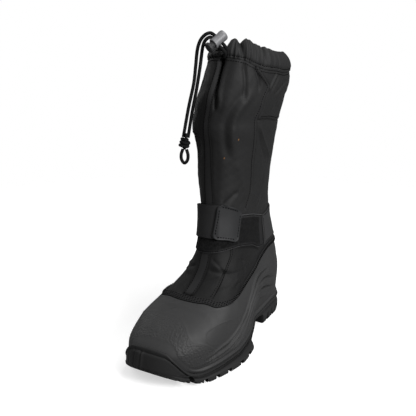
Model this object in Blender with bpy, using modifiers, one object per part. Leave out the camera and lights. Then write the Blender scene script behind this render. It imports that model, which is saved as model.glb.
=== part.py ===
"""Left winter pac boot: lugged rubber outsole, moulded rubber shell, padded nylon shaft,
ankle strap, and a gathered collar with a drawcord and a sprung cord lock.

The toe points to -Y, the outer side of the foot to +X, and the sole stands on z = 0.
Sizes are in millimetres and angles in degrees; objects are made in metres.
Angles run around the boot: 0 at the toe, 90 at the outer side, 180 at the heel.
"""

import math
from collections import namedtuple

import bmesh
import bpy
import numpy as np
from mathutils import Matrix, Vector

MM = 0.001
GAP = 0.3  # running clearance between neighbouring pieces
FORM_PLACE = (0.68, -1.05, 0)  # puts the middle of the boot's box over the origin

# ---- form of the upper: one row for each height ------------------------------------------
Section = namedtuple(
    "Section", "h front back fore_w fore_y heel_w heel_y toe_x lean_x waist")
SECTIONS = [
    Section(0, -140, 150, 50.0, -62, 35.0, 106, -14, 0, 0.55),
    Section(24, -151, 152, 56.5, -65, 37.0, 106, -12, 0, 0.55),
    Section(43, -149, 152, 57.5, -66, 38.5, 106, -11, 0, 0.58),
    Section(65, -126, 150, 55.5, -62, 39.5, 106, -9, 1, 0.66),
    Section(82, -86, 146, 49.0, -48, 38.0, 105, -6, 3, 0.72),
    Section(95, -61, 142, 41.0, -32, 36.0, 102, -4, 4, 0.75),
    Section(108, -47, 138, 37.5, -10, 34.5, 98, -2, 5, 0.75),
    Section(125, -38, 132, 33.5, 6, 33.0, 92, 0, 5, 0.75),
    Section(141, -32, 129, 30.0, 17, 31.0, 85, 0, 5, 0.75),
    Section(162, -26, 128, 28.0, 26, 28.5, 77, 0, 4, 0.75),
    Section(190, -20, 130, 29.0, 34, 29.0, 71, 0, 2, 0.75),
    Section(227, -18, 136, 34.0, 39, 32.0, 71, 0, 0, 0.75),
    Section(271, -21, 143, 39.0, 44, 34.0, 71, 0, 2, 0.75),
    Section(300, -25, 147, 44.0, 45, 37.0, 71, 0, 2, 0.75),
    Section(325, -25, 151, 44.5, 47, 39.5, 71, 0, 6, 0.75),
    Section(350, -20, 153, 42.0, 49, 40.5, 71, 0, 11, 0.75),
    Section(372, -13, 151, 40.0, 51, 39.0, 71, 0, 14, 0.75),
    Section(388, -9, 149, 38.0, 52, 38.5, 71, 0, 15, 0.75),
    Section(408, 4, 132, 27.0, 54, 28.0, 71, 0, 16, 0.75),
]
OVAL_POWER = 2.3  # squareness of the fore and heel ovals
BLEND_POWER = 5.0  # how softly the two ovals run into each other

# ---- front fold of the shaft and collar ---------------------------------------------------
# columns: height, angle of the fold's bottom
FOLD_LINE = [(316, 3), (322, 5), (330, 4.5), (345, 1), (360, 0), (408, 0)]
FOLD_HALF_WIDTH = 4.5
FOLD_DEPTH = 8.0
FOLD_FOOT = 318.0  # height where the fold starts
FOLD_FULL = 372.0  # height from where it has its full depth

# ---- sole ----------------------------------------------------------------------------------
WELT_BALL = 14.0  # top of the sole under the ball
WELT_TOE = 33.0  # top of the sole at the toe's tip
WELT_HEEL = 27.0
WELT_RISE = (0.0, 125.0)  # the welt climbs to the heel between these
TOE_BREAK_Y = -106.0  # the seat rises to the toe from here
SPRING_Y = -97.0  # the underside rises to the toe from here
TOE_TIP_Y = -156.0
TOE_SPRING = 27.0
SHANK_Y = 8.0  # the arch starts here
ARCH_Y = 50.0
BREAST_Y = 72.0  # front face of the heel block
ARCH_RISE = 15.0
HEEL_BEVEL_Y = 134.0
HEEL_BEVEL = 3.5
SOLE_OUT = 3.4  # how far the sole stands out of the shell
RIM_GAP = 0.8  # between the rim and the shell
RIM_ROWS = (0.35, 0.7, 1.0)  # rows up the rim, which the shell's wall shares
LIP = 1.6  # height of the rim around the shell's foot
BUMPER_TOP = 22.0  # how far the toe bumper rises over the welt
BUMPER_FULL = 13.0  # the bumper is full up to this angle each side
BUMPER_END = 40.0
OUTLINE_H = 24.0  # height where the form's outline is the sole's outline
LUG_FLARE = 5.5  # how far the lugs spread at the ball's outer side
TREAD_DEPTH = 6.5
TREAD_WIDTH = 6.0
TREAD_SLANT = -24.0  # the bars run forward as they run outward
TREAD_RIB = 3.0  # half width of the rib along the middle, which stays whole
FORE_GROOVES = [-128, -107, -86, -64, -37, -13]
HEEL_GROOVES = [84, 104, 125]

# ---- upper ---------------------------------------------------------------------------------
SHELL_WALL = 2.8
SHAFT_WALL = 3.0
COLLAR_WALL = 2.6
INSOLE_THICKNESS = 4.0
BINDING_WIDTH = 9.0
BINDING_THICKNESS = 1.3
FLANGE_OUT = 2.4  # the shell's foot flange over the sole's rim
FLANGE_HEIGHT = 4.8
FLANGE_BLEND = 1.4  # from the flange's top edge back to the wall
LIP_OUT = 0.8  # the bead along the shell's topline
SHAFT_ROWS = (0, 0.05, 0.1, 0.16, 0.23, 0.31, 0.42, 0.56, 0.72, 0.86, 1.0)
SHAFT_INNER_ROWS = (0, 0.1, 0.23, 0.42, 0.72, 1.0)

# Height of the shell's topline around the boot.
TOPLINE = [(0, 87), (14, 87), (30, 84), (42, 84), (52, 86), (66, 91), (80, 100), (95, 112),
           (116, 118), (145, 119), (180, 119)]
# Height of the collar's stitch line and of its top edge, from the inner side round.
STITCH = [(-180, 369), (-120, 372), (-60, 376), (-31, 377), (-19, 380), (7, 380.5), (19, 379),
          (28, 377.5), (40, 372.5), (50, 369), (61, 366), (77, 364), (96, 361), (140, 363),
          (180, 369)]
TOP_EDGE = [(-180, 393), (-120, 397), (-60, 398), (-34, 394), (-24, 389), (-4, 388.5), (0, 392),
            (5, 401), (11, 404), (18, 401), (24, 402), (31, 404), (42, 401), (53, 398), (60, 398),
            (77, 396), (95, 393), (140, 391), (180, 393)]
# How far the collar's top edge leans in.
LEAN = [(-180, 9), (-120, 8), (-60, 6), (-25, 2), (0, 0), (22, 0), (42, 2), (60, 6), (77, 10),
        (95, 13), (140, 13), (180, 9)]
PUFF = 2.3
# Pleats of the collar: angle at the top edge, angle at the stitch line, depth, half width.
Pleat = namedtuple("Pleat", "top foot depth width")
PLEATS = [
    Pleat(-172, -171, 1.8, 4), Pleat(-158, -160, 1.2, 3), Pleat(-145, -144, 2.0, 4),
    Pleat(-130, -132, 1.4, 3), Pleat(-117, -116, 1.9, 4), Pleat(-103, -104, 1.3, 3),
    Pleat(-90, -88, 2.0, 4), Pleat(-76, -77, 1.2, 3), Pleat(-62, -61, 1.8, 4),
    Pleat(-48, -49, 1.3, 3), Pleat(-35, -33, 2.2, 4), Pleat(-14, -15, 0.7, 3),
    Pleat(0, 0, 0.0, 3), Pleat(11, 12, 0.9, 2.5), Pleat(21, 27, 6.5, 3.5), Pleat(33, 37, 1.0, 3),
    Pleat(44, 50, 1.5, 3), Pleat(57, 57, 2.2, 2.5), Pleat(67, 67, 0.9, 3),
    Pleat(78, 77, 1.4, 3), Pleat(87, 86, 1.2, 2.5), Pleat(97, 96, 1.8, 3.5),
    Pleat(109, 108, 1.3, 3), Pleat(121, 120, 2.0, 4), Pleat(134, 133, 1.4, 3),
    Pleat(146, 147, 1.9, 4), Pleat(160, 159, 1.2, 3),
]

# ---- straps and trim on the shaft ----------------------------------------------------------
OVER = 0.7  # between the shaft and what lies on it
STRIP_THICKNESS = 1.0
BAND_THICKNESS = 1.0
PILE_THICKNESS = 0.9
STRAP_THICKNESS = 1.6
TAB_THICKNESS = 2.0
STAY_THICKNESS = 1.0
Strip = namedtuple("Strip", "h centre half_width")
STRIP = [Strip(60, -4, 8.0), Strip(130, -2, 8.0), Strip(200, 0, 7.5), Strip(260, -2, 6.0),
         Strip(320, -2, 4.5), Strip(345, -5, 4.5), Strip(380, -8, 4.0)]
STRIP_SIDE = (15, 24)  # what crosses the strip comes down to the shaft between these angles
STAY_ANGLE = 104.0  # front edge of the heel stay, on both sides
STAY_TOP = 169.0
STAY_TOP_RISE = 4.0
BAND_END = STAY_ANGLE - 1.2  # band and strap stop just short of the stay
Edges = namedtuple("Edges", "angle low high")
BAND = [Edges(-104, 128, 168), Edges(-60, 136, 180), Edges(0, 139, 186), Edges(45, 143, 184),
        Edges(76, 137, 179), Edges(90, 129, 174), Edges(104, 127, 169)]
STRAP = [Edges(-104, 134, 177), Edges(-60, 147, 190), Edges(-20, 156, 199), Edges(0, 157, 201),
         Edges(14, 157, 202), Edges(60, 146, 187)]
PILE_EDGE = 2.5  # the band shows this much around the loop pile
PILE_SPAN = (-30.0, 92.0)
STRAP_MIDDLE = 178.0  # height of the strap's middle at the front
TAB_LENGTH = 31.0
TAB_START = 13.5  # angle of the inner edge at the tab's top
TAB_LEAN = 6.5  # how much further forward the tab's foot is
TAB_CORNER = 4.5
TAB_OVERHANG = 4.0  # the strap stops this far under the tab's end

# ---- cord lock -----------------------------------------------------------------------------
CORD_DIAMETER = 4.2
LOCK_PLACE = Vector((10, -17, 400))  # where the cords cross the lock
PRESS = Vector((0.42, 0.68, 0.60)).normalized()  # way the plunger is pressed
CROSS = Vector((-0.716, -0.158, 0.680)).normalized()  # way the cords run through
TRAVEL = 4.0
BARREL_LENGTH = 19.0
BARREL_FLOOR = 2.0
BORE_R = 4.8
SHANK_R = 4.4
SHANK_END = 6.3
SLOT_WIDTH = 5.0
SLOT_START = 7.5
SLOT_LENGTH = 9.6
CORDS_AT = SLOT_START + SLOT_LENGTH / 2
BUTTON_FOOT = BARREL_LENGTH + TRAVEL + GAP
BUTTON_TOP = BUTTON_FOOT + 4.0
# columns: distance out of the axis, distance along it from the closed end
BARREL = [(0, BARREL_FLOOR), (BORE_R, BARREL_FLOOR), (BORE_R, BARREL_LENGTH),
          (6.3, BARREL_LENGTH), (6.7, 18), (6.1, 15.5), (6.1, 8), (6.6, 4), (6.5, 1), (5.6, 0),
          (0, 0)]
PLUNGER = [(0, BUTTON_TOP), (5.5, BUTTON_TOP), (6.5, BUTTON_TOP - 1), (6.5, BUTTON_FOOT + 0.8),
           (5.9, BUTTON_FOOT), (SHANK_R, BUTTON_FOOT), (SHANK_R, SHANK_END), (0, SHANK_END)]

# ---- drawcord: the points that each stretch runs through -----------------------------------
CORD_OUTER = [(16.0, -8.1, 387.0), (19.4, -10.7, 390.0), (17.9, -13.9, 394.9), (11.0, -15.4, 401.4),
              (5.6, -16.6, 406.5), (1.4, -18.2, 408.8), (-4.0, -20.2, 407.0), (-9.2, -21.6, 401.8),
              (-12.5, -22.4, 394.6), (-14.4, -22.7, 386.0), (-16.0, -23.0, 371.3),
              (-18.8, -23.4, 350.2), (-26.0, -24.2, 321.2), (-34.0, -24.4, 284.8)]
CORD_INNER = [(15.8, -9.4, 381.0), (18.9, -13.2, 386.2), (16.0, -17.0, 391.6), (9.0, -18.6, 398.6),
              (3.6, -19.8, 403.7), (0.4, -21.8, 403.2), (-3.0, -22.4, 400.4), (-5.6, -22.2, 396.0),
              (-8.0, -21.4, 388.5), (-11.3, -21.0, 369.0), (-16.2, -20.8, 344.3),
              (-22.9, -20.6, 316.5), (-29.4, -20.6, 283.9)]
KNOT_PLACE = (-32.8, -23.4, 276.6)
KNOT_SIZE = (9.0, 7.5, 7.6)  # half sizes
LOOP = [(-35.2, -24.2, 269.0), (-37.4, -24.6, 262.5), (-36.9, -24.8, 255.8), (-32.6, -24.8, 251.6),
        (-28.2, -24.6, 255.8), (-27.6, -24.2, 262.5), (-30.0, -23.8, 269.3)]

Finish = namedtuple("Finish", "name colour roughness")
RUBBER = Finish("shell_rubber", (0.022, 0.022, 0.024), 0.55)
SOLE_RUBBER = Finish("sole_rubber", (0.018, 0.018, 0.019), 0.6)
NYLON = Finish("nylon", (0.012, 0.013, 0.014), 0.8)
WEBBING = Finish("webbing", (0.016, 0.016, 0.018), 0.75)
GROSGRAIN = Finish("grosgrain", (0.03, 0.03, 0.032), 0.7)
LOOP_PILE = Finish("loop_pile", (0.008, 0.008, 0.009), 0.95)
TAB_RUBBER = Finish("tab_rubber", (0.05, 0.047, 0.052), 0.5)
CORD = Finish("cord", (0.02, 0.02, 0.02), 0.8)
GLOSS = Finish("lock_plastic", (0.03, 0.03, 0.032), 0.2)
FOAM = Finish("insole_foam", (0.05, 0.05, 0.055), 0.9)


# ---- tables and curves ---------------------------------------------------------------------
def monotone(xs, ys, x):
    """Smooth curve through a table's points that never overshoots them."""
    xs, ys = np.asarray(xs, float), np.asarray(ys, float)
    step = np.diff(xs)
    slope = np.diff(ys) / step
    tangent = np.zeros_like(ys)
    tangent[0], tangent[-1] = slope[0], slope[-1]
    for i in range(1, len(xs) - 1):
        a, b = slope[i - 1], slope[i]
        if a * b > 0:
            wa, wb = 2 * step[i] + step[i - 1], step[i] + 2 * step[i - 1]
            tangent[i] = (wa + wb) / (wa / a + wb / b)
    x = np.clip(x, xs[0], xs[-1])
    k = np.clip(np.searchsorted(xs, x, side="right") - 1, 0, len(xs) - 2)
    t = (x - xs[k]) / step[k]
    from_left = (1 + 2 * t) * (1 - t) ** 2 * ys[k] + t * (1 - t) ** 2 * step[k] * tangent[k]
    from_right = t * t * (3 - 2 * t) * ys[k + 1] + t * t * (t - 1) * step[k] * tangent[k + 1]
    return from_left + from_right


def along(table, x):
    """Value of a two-column table at x."""
    xs, ys = zip(*table)
    return monotone(xs, ys, x)


def ramp(x, start, end):
    """Smooth step from 0 at start to 1 at end."""
    t = np.clip((np.asarray(x, float) - start) / (end - start), 0, 1)
    return t * t * (3 - 2 * t)


def signed(angle):
    """The same angle between -180 and 180."""
    return (np.asarray(angle, float) + 180) % 360 - 180


def section(h):
    heights = [row.h for row in SECTIONS]
    columns = zip(*SECTIONS)
    return Section(*(monotone(heights, column, h) for column in columns))


# ---- the boot's outer form -----------------------------------------------------------------
def oval(y, centre, front_reach, back_reach, width):
    reach = np.where(y < centre, front_reach, back_reach)
    u = np.clip(np.abs(y - centre) / reach, 0, 1)
    return width * (1 - u**OVAL_POWER) ** (1 / OVAL_POWER)


def base(angle, h):
    """Point of the outer form at an angle around the boot and a height."""
    s = section(h)
    turn = np.radians(angle)
    y = (s.front + s.back) / 2 - (s.back - s.front) / 2 * np.cos(turn)
    fore = oval(y, s.fore_y, s.fore_y - s.front, (s.back - s.fore_y) * s.waist, s.fore_w)
    heel = oval(y, s.heel_y, (s.heel_y - s.front) * s.waist, s.back - s.heel_y, s.heel_w)
    half = (fore**BLEND_POWER + heel**BLEND_POWER) ** (1 / BLEND_POWER)
    forward = np.clip((s.fore_y - y) / (s.fore_y - s.front) + 0.3, 0, 1)
    x = np.sign(np.round(np.sin(turn), 9)) * half + s.toe_x * forward + s.lean_x
    depth = FOLD_DEPTH * ramp(h, FOLD_FOOT, FOLD_FULL)
    beside = signed(angle) - along(FOLD_LINE, h)
    y = y + depth * np.exp(-((beside / FOLD_HALF_WIDTH) ** 2))
    return np.stack(np.broadcast_arrays(x, y, h), -1)


def skin(angle, h, out=0.0):
    """Point at a distance out of the form, square to it."""
    angle, h = np.broadcast_arrays(np.asarray(angle, float), np.asarray(h, float))
    turn, rise = 0.8, 0.8
    across = base(angle + turn, h) - base(angle - turn, h)
    up = base(angle, h + rise) - base(angle, h - rise)
    normal = np.cross(across, up)
    normal /= np.linalg.norm(normal, axis=-1, keepdims=True)
    return base(angle, h) + normal * np.asarray(out, float)[..., None]


def climb(angle, h, distance):
    """Height reached by going a distance up the form's surface."""
    steps = 6
    h = np.asarray(h, float)
    for _ in range(steps):
        rise = base(angle, h + 0.5) - base(angle, h - 0.5)
        h = h + distance / steps / np.linalg.norm(rise, axis=-1)
    return h


def go_round(angle, h, distance):
    """Angle reached by going a distance around the form at one height."""
    steps = 8
    angle = np.asarray(angle, float)
    for _ in range(steps):
        arc = base(angle + 0.5, h) - base(angle - 0.5, h)
        angle = angle + np.asarray(distance) / steps / np.linalg.norm(arc, axis=-1)
    return angle


def topline(angle):
    return along(TOPLINE, np.abs(signed(angle)))


def stitch_line(angle):
    return along(STITCH, signed(angle))


def top_edge(angle):
    return along(TOP_EDGE, signed(angle))


# ---- making objects ------------------------------------------------------------------------
def start():
    for old in list(bpy.data.objects):
        bpy.data.objects.remove(old, do_unlink=True)
    boot = bpy.data.collections.new("pac_boot")
    cutters = bpy.data.collections.new("cutters")
    bpy.context.scene.collection.children.link(boot)
    bpy.context.scene.collection.children.link(cutters)
    axis = bpy.data.objects.new("boot_axis", None)
    axis.location = Vector(FORM_PLACE) * MM
    boot.objects.link(axis)
    return boot, cutters, axis


def material(finish):
    found = bpy.data.materials.get(finish.name)
    if found:
        return found
    made = bpy.data.materials.new(finish.name)
    made.use_nodes = True
    shader = made.node_tree.nodes["Principled BSDF"]
    shader.inputs["Base Color"].default_value = (*finish.colour, 1)
    shader.inputs["Roughness"].default_value = finish.roughness
    shader.inputs["Metallic"].default_value = 0.0
    return made


def add(name, mesh, finish=None):
    """Object from a mesh, among the boot's pieces, or among the cutters if it has no finish."""
    item = bpy.data.objects.new(name, mesh)
    item.parent = AXIS
    if finish:
        BOOT.objects.link(item)
        mesh.materials.append(material(finish))
        mesh.shade_smooth()
        mesh.set_sharp_from_angle(angle=math.radians(40))
    else:
        CUTTERS.objects.link(item)
        item.hide_render = True
        item.display_type = "WIRE"
    return item


def surface(name, points, wrap):
    """Open surface through rows of points; wrap joins the last column to the first."""
    bm = bmesh.new()
    rows = [[bm.verts.new(Vector(p) * MM) for p in row] for row in points]
    for low, high in zip(rows, rows[1:]):
        count = len(low)
        for c in range(count if wrap else count - 1):
            n = (c + 1) % count
            bm.faces.new((low[c], low[n], high[n], high[c]))
    mesh = bpy.data.meshes.new(name)
    bm.to_mesh(mesh)
    bm.free()
    return mesh


def sheet(name, points, thickness, finish, wrap=False):
    """A surface given a thickness out of the boot."""
    item = add(name, surface(name, points, wrap), finish)
    solid = item.modifiers.new("thickness", "SOLIDIFY")
    solid.thickness = thickness * MM
    solid.offset = 1.0
    solid.use_even_offset = True
    solid.use_quality_normals = True
    return item


def ring_solid(name, rings, finish):
    """Closed solid through stacked rings whose columns mirror left to right.

    Each end is capped in strips across the width.
    """
    bm = bmesh.new()
    rows = [[bm.verts.new(Vector(p) * MM) for p in ring] for ring in rings]
    count = len(rows[0])
    for low, high in zip(rows, rows[1:]):
        for c in range(count):
            n = (c + 1) % count
            bm.faces.new((low[c], low[n], high[n], high[c]))
    for ring in (rows[0], rows[-1]):
        for c in range(count // 2):
            corners = [ring[c], ring[c + 1], ring[(count - c - 1) % count], ring[-c]]
            strip = list(dict.fromkeys(corners))
            bm.faces.new(strip)
    bmesh.ops.recalc_face_normals(bm, faces=bm.faces)
    mesh = bpy.data.meshes.new(name)
    bm.to_mesh(mesh)
    bm.free()
    return add(name, mesh, finish)


def hollow(name, outer, inner, finish):
    """Closed wall between an outer and an inner stack of rows that run around the boot."""
    bm = bmesh.new()
    loop = list(outer) + list(reversed(inner))
    rows = [[bm.verts.new(Vector(p) * MM) for p in row] for row in loop]
    for low, high in zip(rows, rows[1:] + rows[:1]):
        for c in range(len(low)):
            n = (c + 1) % len(low)
            bm.faces.new((low[c], low[n], high[n], high[c]))
    bmesh.ops.recalc_face_normals(bm, faces=bm.faces)
    mesh = bpy.data.meshes.new(name)
    bm.to_mesh(mesh)
    bm.free()
    return add(name, mesh, finish)


def both_sides(half):
    """Angles around the boot, given those of one side from 0 to 180."""
    return np.array(list(half) + [360 - a for a in reversed(half[1:-1])])


def boolean(item, cutter, operation):
    cut = item.modifiers.new(cutter.name, "BOOLEAN")
    cut.operation = operation
    cut.object = cutter
    cut.solver = "EXACT"


def mirrored_box(bm, size, place, slant):
    """A box and its mirror image across the boot's middle."""
    for side in (1, -1):
        made = bmesh.ops.create_cube(bm, size=1.0)["verts"]
        move = Matrix.Translation(Vector((side * place[0], place[1], place[2])) * MM)
        turn = Matrix.Rotation(math.radians(side * slant), 4, "Z")
        bmesh.ops.transform(bm, matrix=move @ turn @ Matrix.Diagonal((*(Vector(size) * MM), 1)),
                            verts=made)


# ---- sole ----------------------------------------------------------------------------------
def sole_top(y):
    """Height of the seat that carries shell and insole."""
    toe = (WELT_TOE - WELT_BALL) * np.clip((TOE_BREAK_Y - y) / (TOE_BREAK_Y - TOE_TIP_Y), 0, 1) ** 1.6
    return WELT_BALL + toe + (WELT_HEEL - WELT_BALL) * ramp(y, *WELT_RISE)


def ground(y):
    """Height of the sole's underside."""
    toe = TOE_SPRING * np.clip((SPRING_Y - y) / (SPRING_Y - TOE_TIP_Y), 0, 1.1) ** 1.7
    arch = ARCH_RISE * ramp(y, SHANK_Y, ARCH_Y) * (1 - ramp(y, BREAST_Y - 1.5, BREAST_Y + 1.5))
    back = HEEL_BEVEL * np.clip((y - HEEL_BEVEL_Y) / 22, 0, 1) ** 2
    return toe + arch + back


def lug_flare(angles, y):
    """How far the lugs spread at the outer side of the ball."""
    return LUG_FLARE * ramp(signed(angles), 46, 74) * (1 - ramp(y, SHANK_Y - 14, SHANK_Y + 2))


def columns():
    """Angles around the boot that sole, shell and shaft share, closer where the sole changes."""
    s = section(OUTLINE_H)
    ys = [-140, -128, -116, TOE_BREAK_Y, -92, -76, -58, -40, -20, 0, SHANK_Y, 22, 36, ARCH_Y, 60,
          BREAST_Y - 1.5, BREAST_Y + 1.5, 88, 104, 120, HEEL_BEVEL_Y, 143, 150]
    middle, reach = (s.front + s.back) / 2, (s.back - s.front) / 2
    half = [math.degrees(math.acos((middle - y) / reach)) for y in ys]
    half += [4.0, 8.5, BUMPER_FULL, 18.0, 27.5, BUMPER_END]
    return both_sides([0.0] + sorted(half) + [180.0])


def bumper(angle):
    """How far the rim rises over the welt."""
    rise = 1 - ramp(np.abs(signed(angle)), BUMPER_FULL, BUMPER_END)
    return LIP + (BUMPER_TOP - LIP) * rise


def outsole():
    angles = columns()
    welt = sole_top(base(angles, OUTLINE_H)[:, 1])
    rings = []
    y = base(angles, OUTLINE_H)[:, 1]
    lugs = 1 - ramp(y, SHANK_Y - 14, SHANK_Y + 2) + ramp(y, BREAST_Y - 8, BREAST_Y)
    lugs = lugs * ramp(np.abs(signed(angles)), 18, 34)
    flare = lug_flare(angles, y)
    # columns: share of the way from the ground to the welt, distance out, what the lugs add,
    # share of the flare
    side = [(0.0, 0.4, 1.4, 0.85), (0.1, 2.2, 1.9, 1.0), (0.52, 2.8, 1.7, 0.8),
            (0.6, 1.8, 0.3, 0.2), (0.68, 1.8, 0.0, 0.0), (0.73, SOLE_OUT, 0.0, 0.0),
            (1.0, SOLE_OUT, 0.0, 0.0)]
    for share, out, more, spread in side:
        ring = skin(angles, OUTLINE_H, out + more * lugs + spread * flare)
        low = ground(ring[:, 1])
        ring[:, 2] = low + share * (welt - low)
        rings.append(ring)
    rise = bumper(angles)
    rings += [skin(angles, welt + share * rise, SOLE_OUT - 0.5 * share) for share in RIM_ROWS]
    rings += [skin(angles, welt + share * rise, RIM_GAP) for share in reversed(RIM_ROWS)]
    rings.append(skin(angles, welt, RIM_GAP))
    sole = ring_solid("outsole", rings, SOLE_RUBBER)
    boolean(sole, tread_cutter(), "DIFFERENCE")
    return sole


def tread_cutter():
    """Slanted bars that part the lugs of the forefoot and the heel."""
    bm = bmesh.new()
    length = 90.0
    centre_x = TREAD_RIB + length / 2 * math.cos(math.radians(TREAD_SLANT))
    size = (length, TREAD_WIDTH, 2 * TREAD_DEPTH)
    for y in FORE_GROOVES + HEEL_GROOVES:
        mirrored_box(bm, size, (centre_x, y, float(ground(y))), TREAD_SLANT)
    mesh = bpy.data.meshes.new("tread_cutter")
    bm.to_mesh(mesh)
    bm.free()
    return add("tread_cutter", mesh)


def insole():
    angles = columns()
    seat = sole_top(base(angles, OUTLINE_H)[:, 1])
    inset = -(SHELL_WALL + GAP + 0.6)
    rings = []
    for rise, out in ((GAP, inset), (GAP + INSOLE_THICKNESS, inset - 0.8)):
        ring = skin(angles, seat + rise, out)
        ring[:, 2] = sole_top(ring[:, 1]) + rise
        rings.append(ring)
    return ring_solid("insole", rings, FOAM)


# ---- upper ---------------------------------------------------------------------------------
def shell():
    angles = columns()
    top = topline(angles)
    foot = sole_top(base(angles, OUTLINE_H)[:, 1])
    rim = foot + bumper(angles)
    flange = FLANGE_OUT * ramp(np.abs(signed(angles)), BUMPER_END - 8, BUMPER_END + 6)
    outer = [skin(angles, foot + GAP)]
    outer += [skin(angles, foot + share * (rim - foot)) for share in RIM_ROWS]
    # columns: height over the rim, share of the flange's depth
    for rise, share in ((0.2, 0.0), (0.5, 1.0), (FLANGE_HEIGHT, 1.0), (FLANGE_HEIGHT + FLANGE_BLEND, 0.1)):
        outer.append(skin(angles, rim + rise, share * flange))
    start = rim + FLANGE_HEIGHT + FLANGE_BLEND
    outer += [skin(angles, start + share * (top - start)) for share in (0.25, 0.5, 0.75)]
    # columns: distance over the topline, distance out
    for up, out in ((-3.6, 0.0), (-2.6, LIP_OUT), (0.0, LIP_OUT)):
        outer.append(skin(angles, climb(angles, top, up), out))
    inner = [skin(angles, foot + GAP, -SHELL_WALL), skin(angles, rim, -SHELL_WALL)]
    inner += [skin(angles, rim + share * (top - rim), -SHELL_WALL) for share in (0.25, 0.5, 0.75)]
    inner.append(skin(angles, top, -SHELL_WALL))
    return hollow("shell", outer, inner, RUBBER)


def binding():
    angles = columns()
    points = []
    for share in (0.02, 0.5, 1.0):
        points.append(skin(angles, climb(angles, topline(angles), share * BINDING_WIDTH), 1.5 * GAP))
    return sheet("binding", points, BINDING_THICKNESS, GROSGRAIN, wrap=True)


def shaft_height(angles, share):
    """Height of the shaft's rows, from over the binding to the collar's stitch line."""
    low, high = climb(angles, topline(angles), BINDING_WIDTH + 2.0), stitch_line(angles)
    return low + share * (high - low)


def shaft():
    angles = columns()
    line = topline(angles)
    tuck = -(SHELL_WALL + 4 * GAP)  # the lower edge lies inside the shell
    hem = [(-9.0, tuck), (0.5, tuck), (4.0, 0.0)]  # distance over the topline, distance out
    outer = [skin(angles, climb(angles, line, up), out) for up, out in hem]
    inner = [skin(angles, climb(angles, line, up), out - SHAFT_WALL) for up, out in hem]
    outer += [skin(angles, shaft_height(angles, share)) for share in SHAFT_ROWS]
    inner += [skin(angles, shaft_height(angles, share), -SHAFT_WALL) for share in SHAFT_INNER_ROWS]
    return hollow("shaft", outer, inner, NYLON)


def tunnel(angles, share):
    """How far the collar's gathered tunnel stands out of the form, a share of the way up it."""
    out = PUFF * math.sin(math.pi * share**0.8) - along(LEAN, signed(angles)) * share**2.2
    for pleat in PLEATS:
        beside = signed(angles - (pleat.foot + share * (pleat.top - pleat.foot)))
        valley = np.exp(-np.abs(beside / pleat.width) ** 1.4)
        out = out - pleat.depth * valley * min(1.0, 0.15 + 1.2 * share)
    return out


def collar_columns(share):
    """Angles at a share of the collar's height: each pleat's valley, and two on each crest."""
    valleys = np.array([pleat.foot + share * (pleat.top - pleat.foot) for pleat in PLEATS])
    gaps = np.diff(valleys, append=valleys[0] + 360)
    return np.ravel([valleys, valleys + gaps * 0.33, valleys + gaps * 0.67], order="F")


def collar():
    outer, inner = [], []
    for share in (0, 0.3, 0.6, 0.85, 1):
        angles = collar_columns(share)
        low, high = stitch_line(angles) + 1.5 * GAP, top_edge(angles)
        height, out = low + share * (high - low), tunnel(angles, share)
        outer.append(skin(angles, height, out))
        if share in (0, 0.6, 1):
            inner.append(skin(angles, height, out - COLLAR_WALL))
    return hollow("collar", outer, inner, NYLON)


# ---- straps and trim -----------------------------------------------------------------------
def over_strip(angle):
    """Height over the shaft of what also crosses the front strip."""
    return OVER + (STRIP_THICKNESS + 2 * GAP) * (1 - ramp(np.abs(signed(angle)), *STRIP_SIDE))


def over_band(angle):
    """Height over the shaft of what also crosses the band and its loop pile."""
    pile = (PILE_THICKNESS + GAP) * ramp(angle, PILE_SPAN[0] - 12, PILE_SPAN[0] - 3)
    return over_strip(angle) + BAND_THICKNESS + 2 * GAP + pile


def edge_heights(table, angles):
    """Lower and upper edge of a band at the given angles."""
    turns, low, high = zip(*table)
    return monotone(turns, low, angles), monotone(turns, high, angles)


def span(first, last):
    """The shared columns between two angles, with both ends."""
    inside = [a for a in sorted(signed(columns())) if first + 1.5 < a < last - 1.5]
    return np.array([first] + inside + [last])


def front_strip():
    foot = float(climb(0.0, topline(0.0), BINDING_WIDTH + 1.0))
    heights = [foot] + [float(shaft_height(0.0, share)) for share in SHAFT_ROWS]
    heights[-1] -= 3.0
    rows = []
    for h in heights:
        centre = along([(row.h, row.centre) for row in STRIP], h)
        half = along([(row.h, row.half_width) for row in STRIP], h)
        angles = go_round(0.0, h, centre + half * np.array([-1, -0.5, 0, 0.5, 1]))
        rows.append(skin(angles, h, OVER))
    return sheet("front_strip", np.array(rows), STRIP_THICKNESS, WEBBING)


def band_rows(table, angles, out, shares, margin=0.0):
    low, high = edge_heights(table, angles)
    low, high = low + margin, high - margin
    return np.array([skin(angles, low + share * (high - low), out) for share in shares])


def ankle_band():
    angles = span(-BAND_END, BAND_END)
    points = band_rows(BAND, angles, over_strip(angles), (0, 0.33, 0.67, 1))
    return sheet("ankle_band", points, BAND_THICKNESS, WEBBING)


def loop_patch():
    angles = span(*PILE_SPAN)
    out = over_strip(angles) + BAND_THICKNESS + 1.5 * GAP
    points = band_rows(BAND, angles, out, (0, 0.33, 0.67, 1), PILE_EDGE)
    return sheet("loop_patch", points, PILE_THICKNESS, LOOP_PILE)


def strap():
    end = float(go_round(TAB_START, STRAP_MIDDLE, TAB_LENGTH - TAB_OVERHANG))
    angles = span(-BAND_END, end)
    points = band_rows(STRAP, angles, over_band(angles), (0, 0.2, 0.4, 0.6, 0.8, 1))
    return sheet("strap", points, STRAP_THICKNESS, WEBBING)


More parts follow.
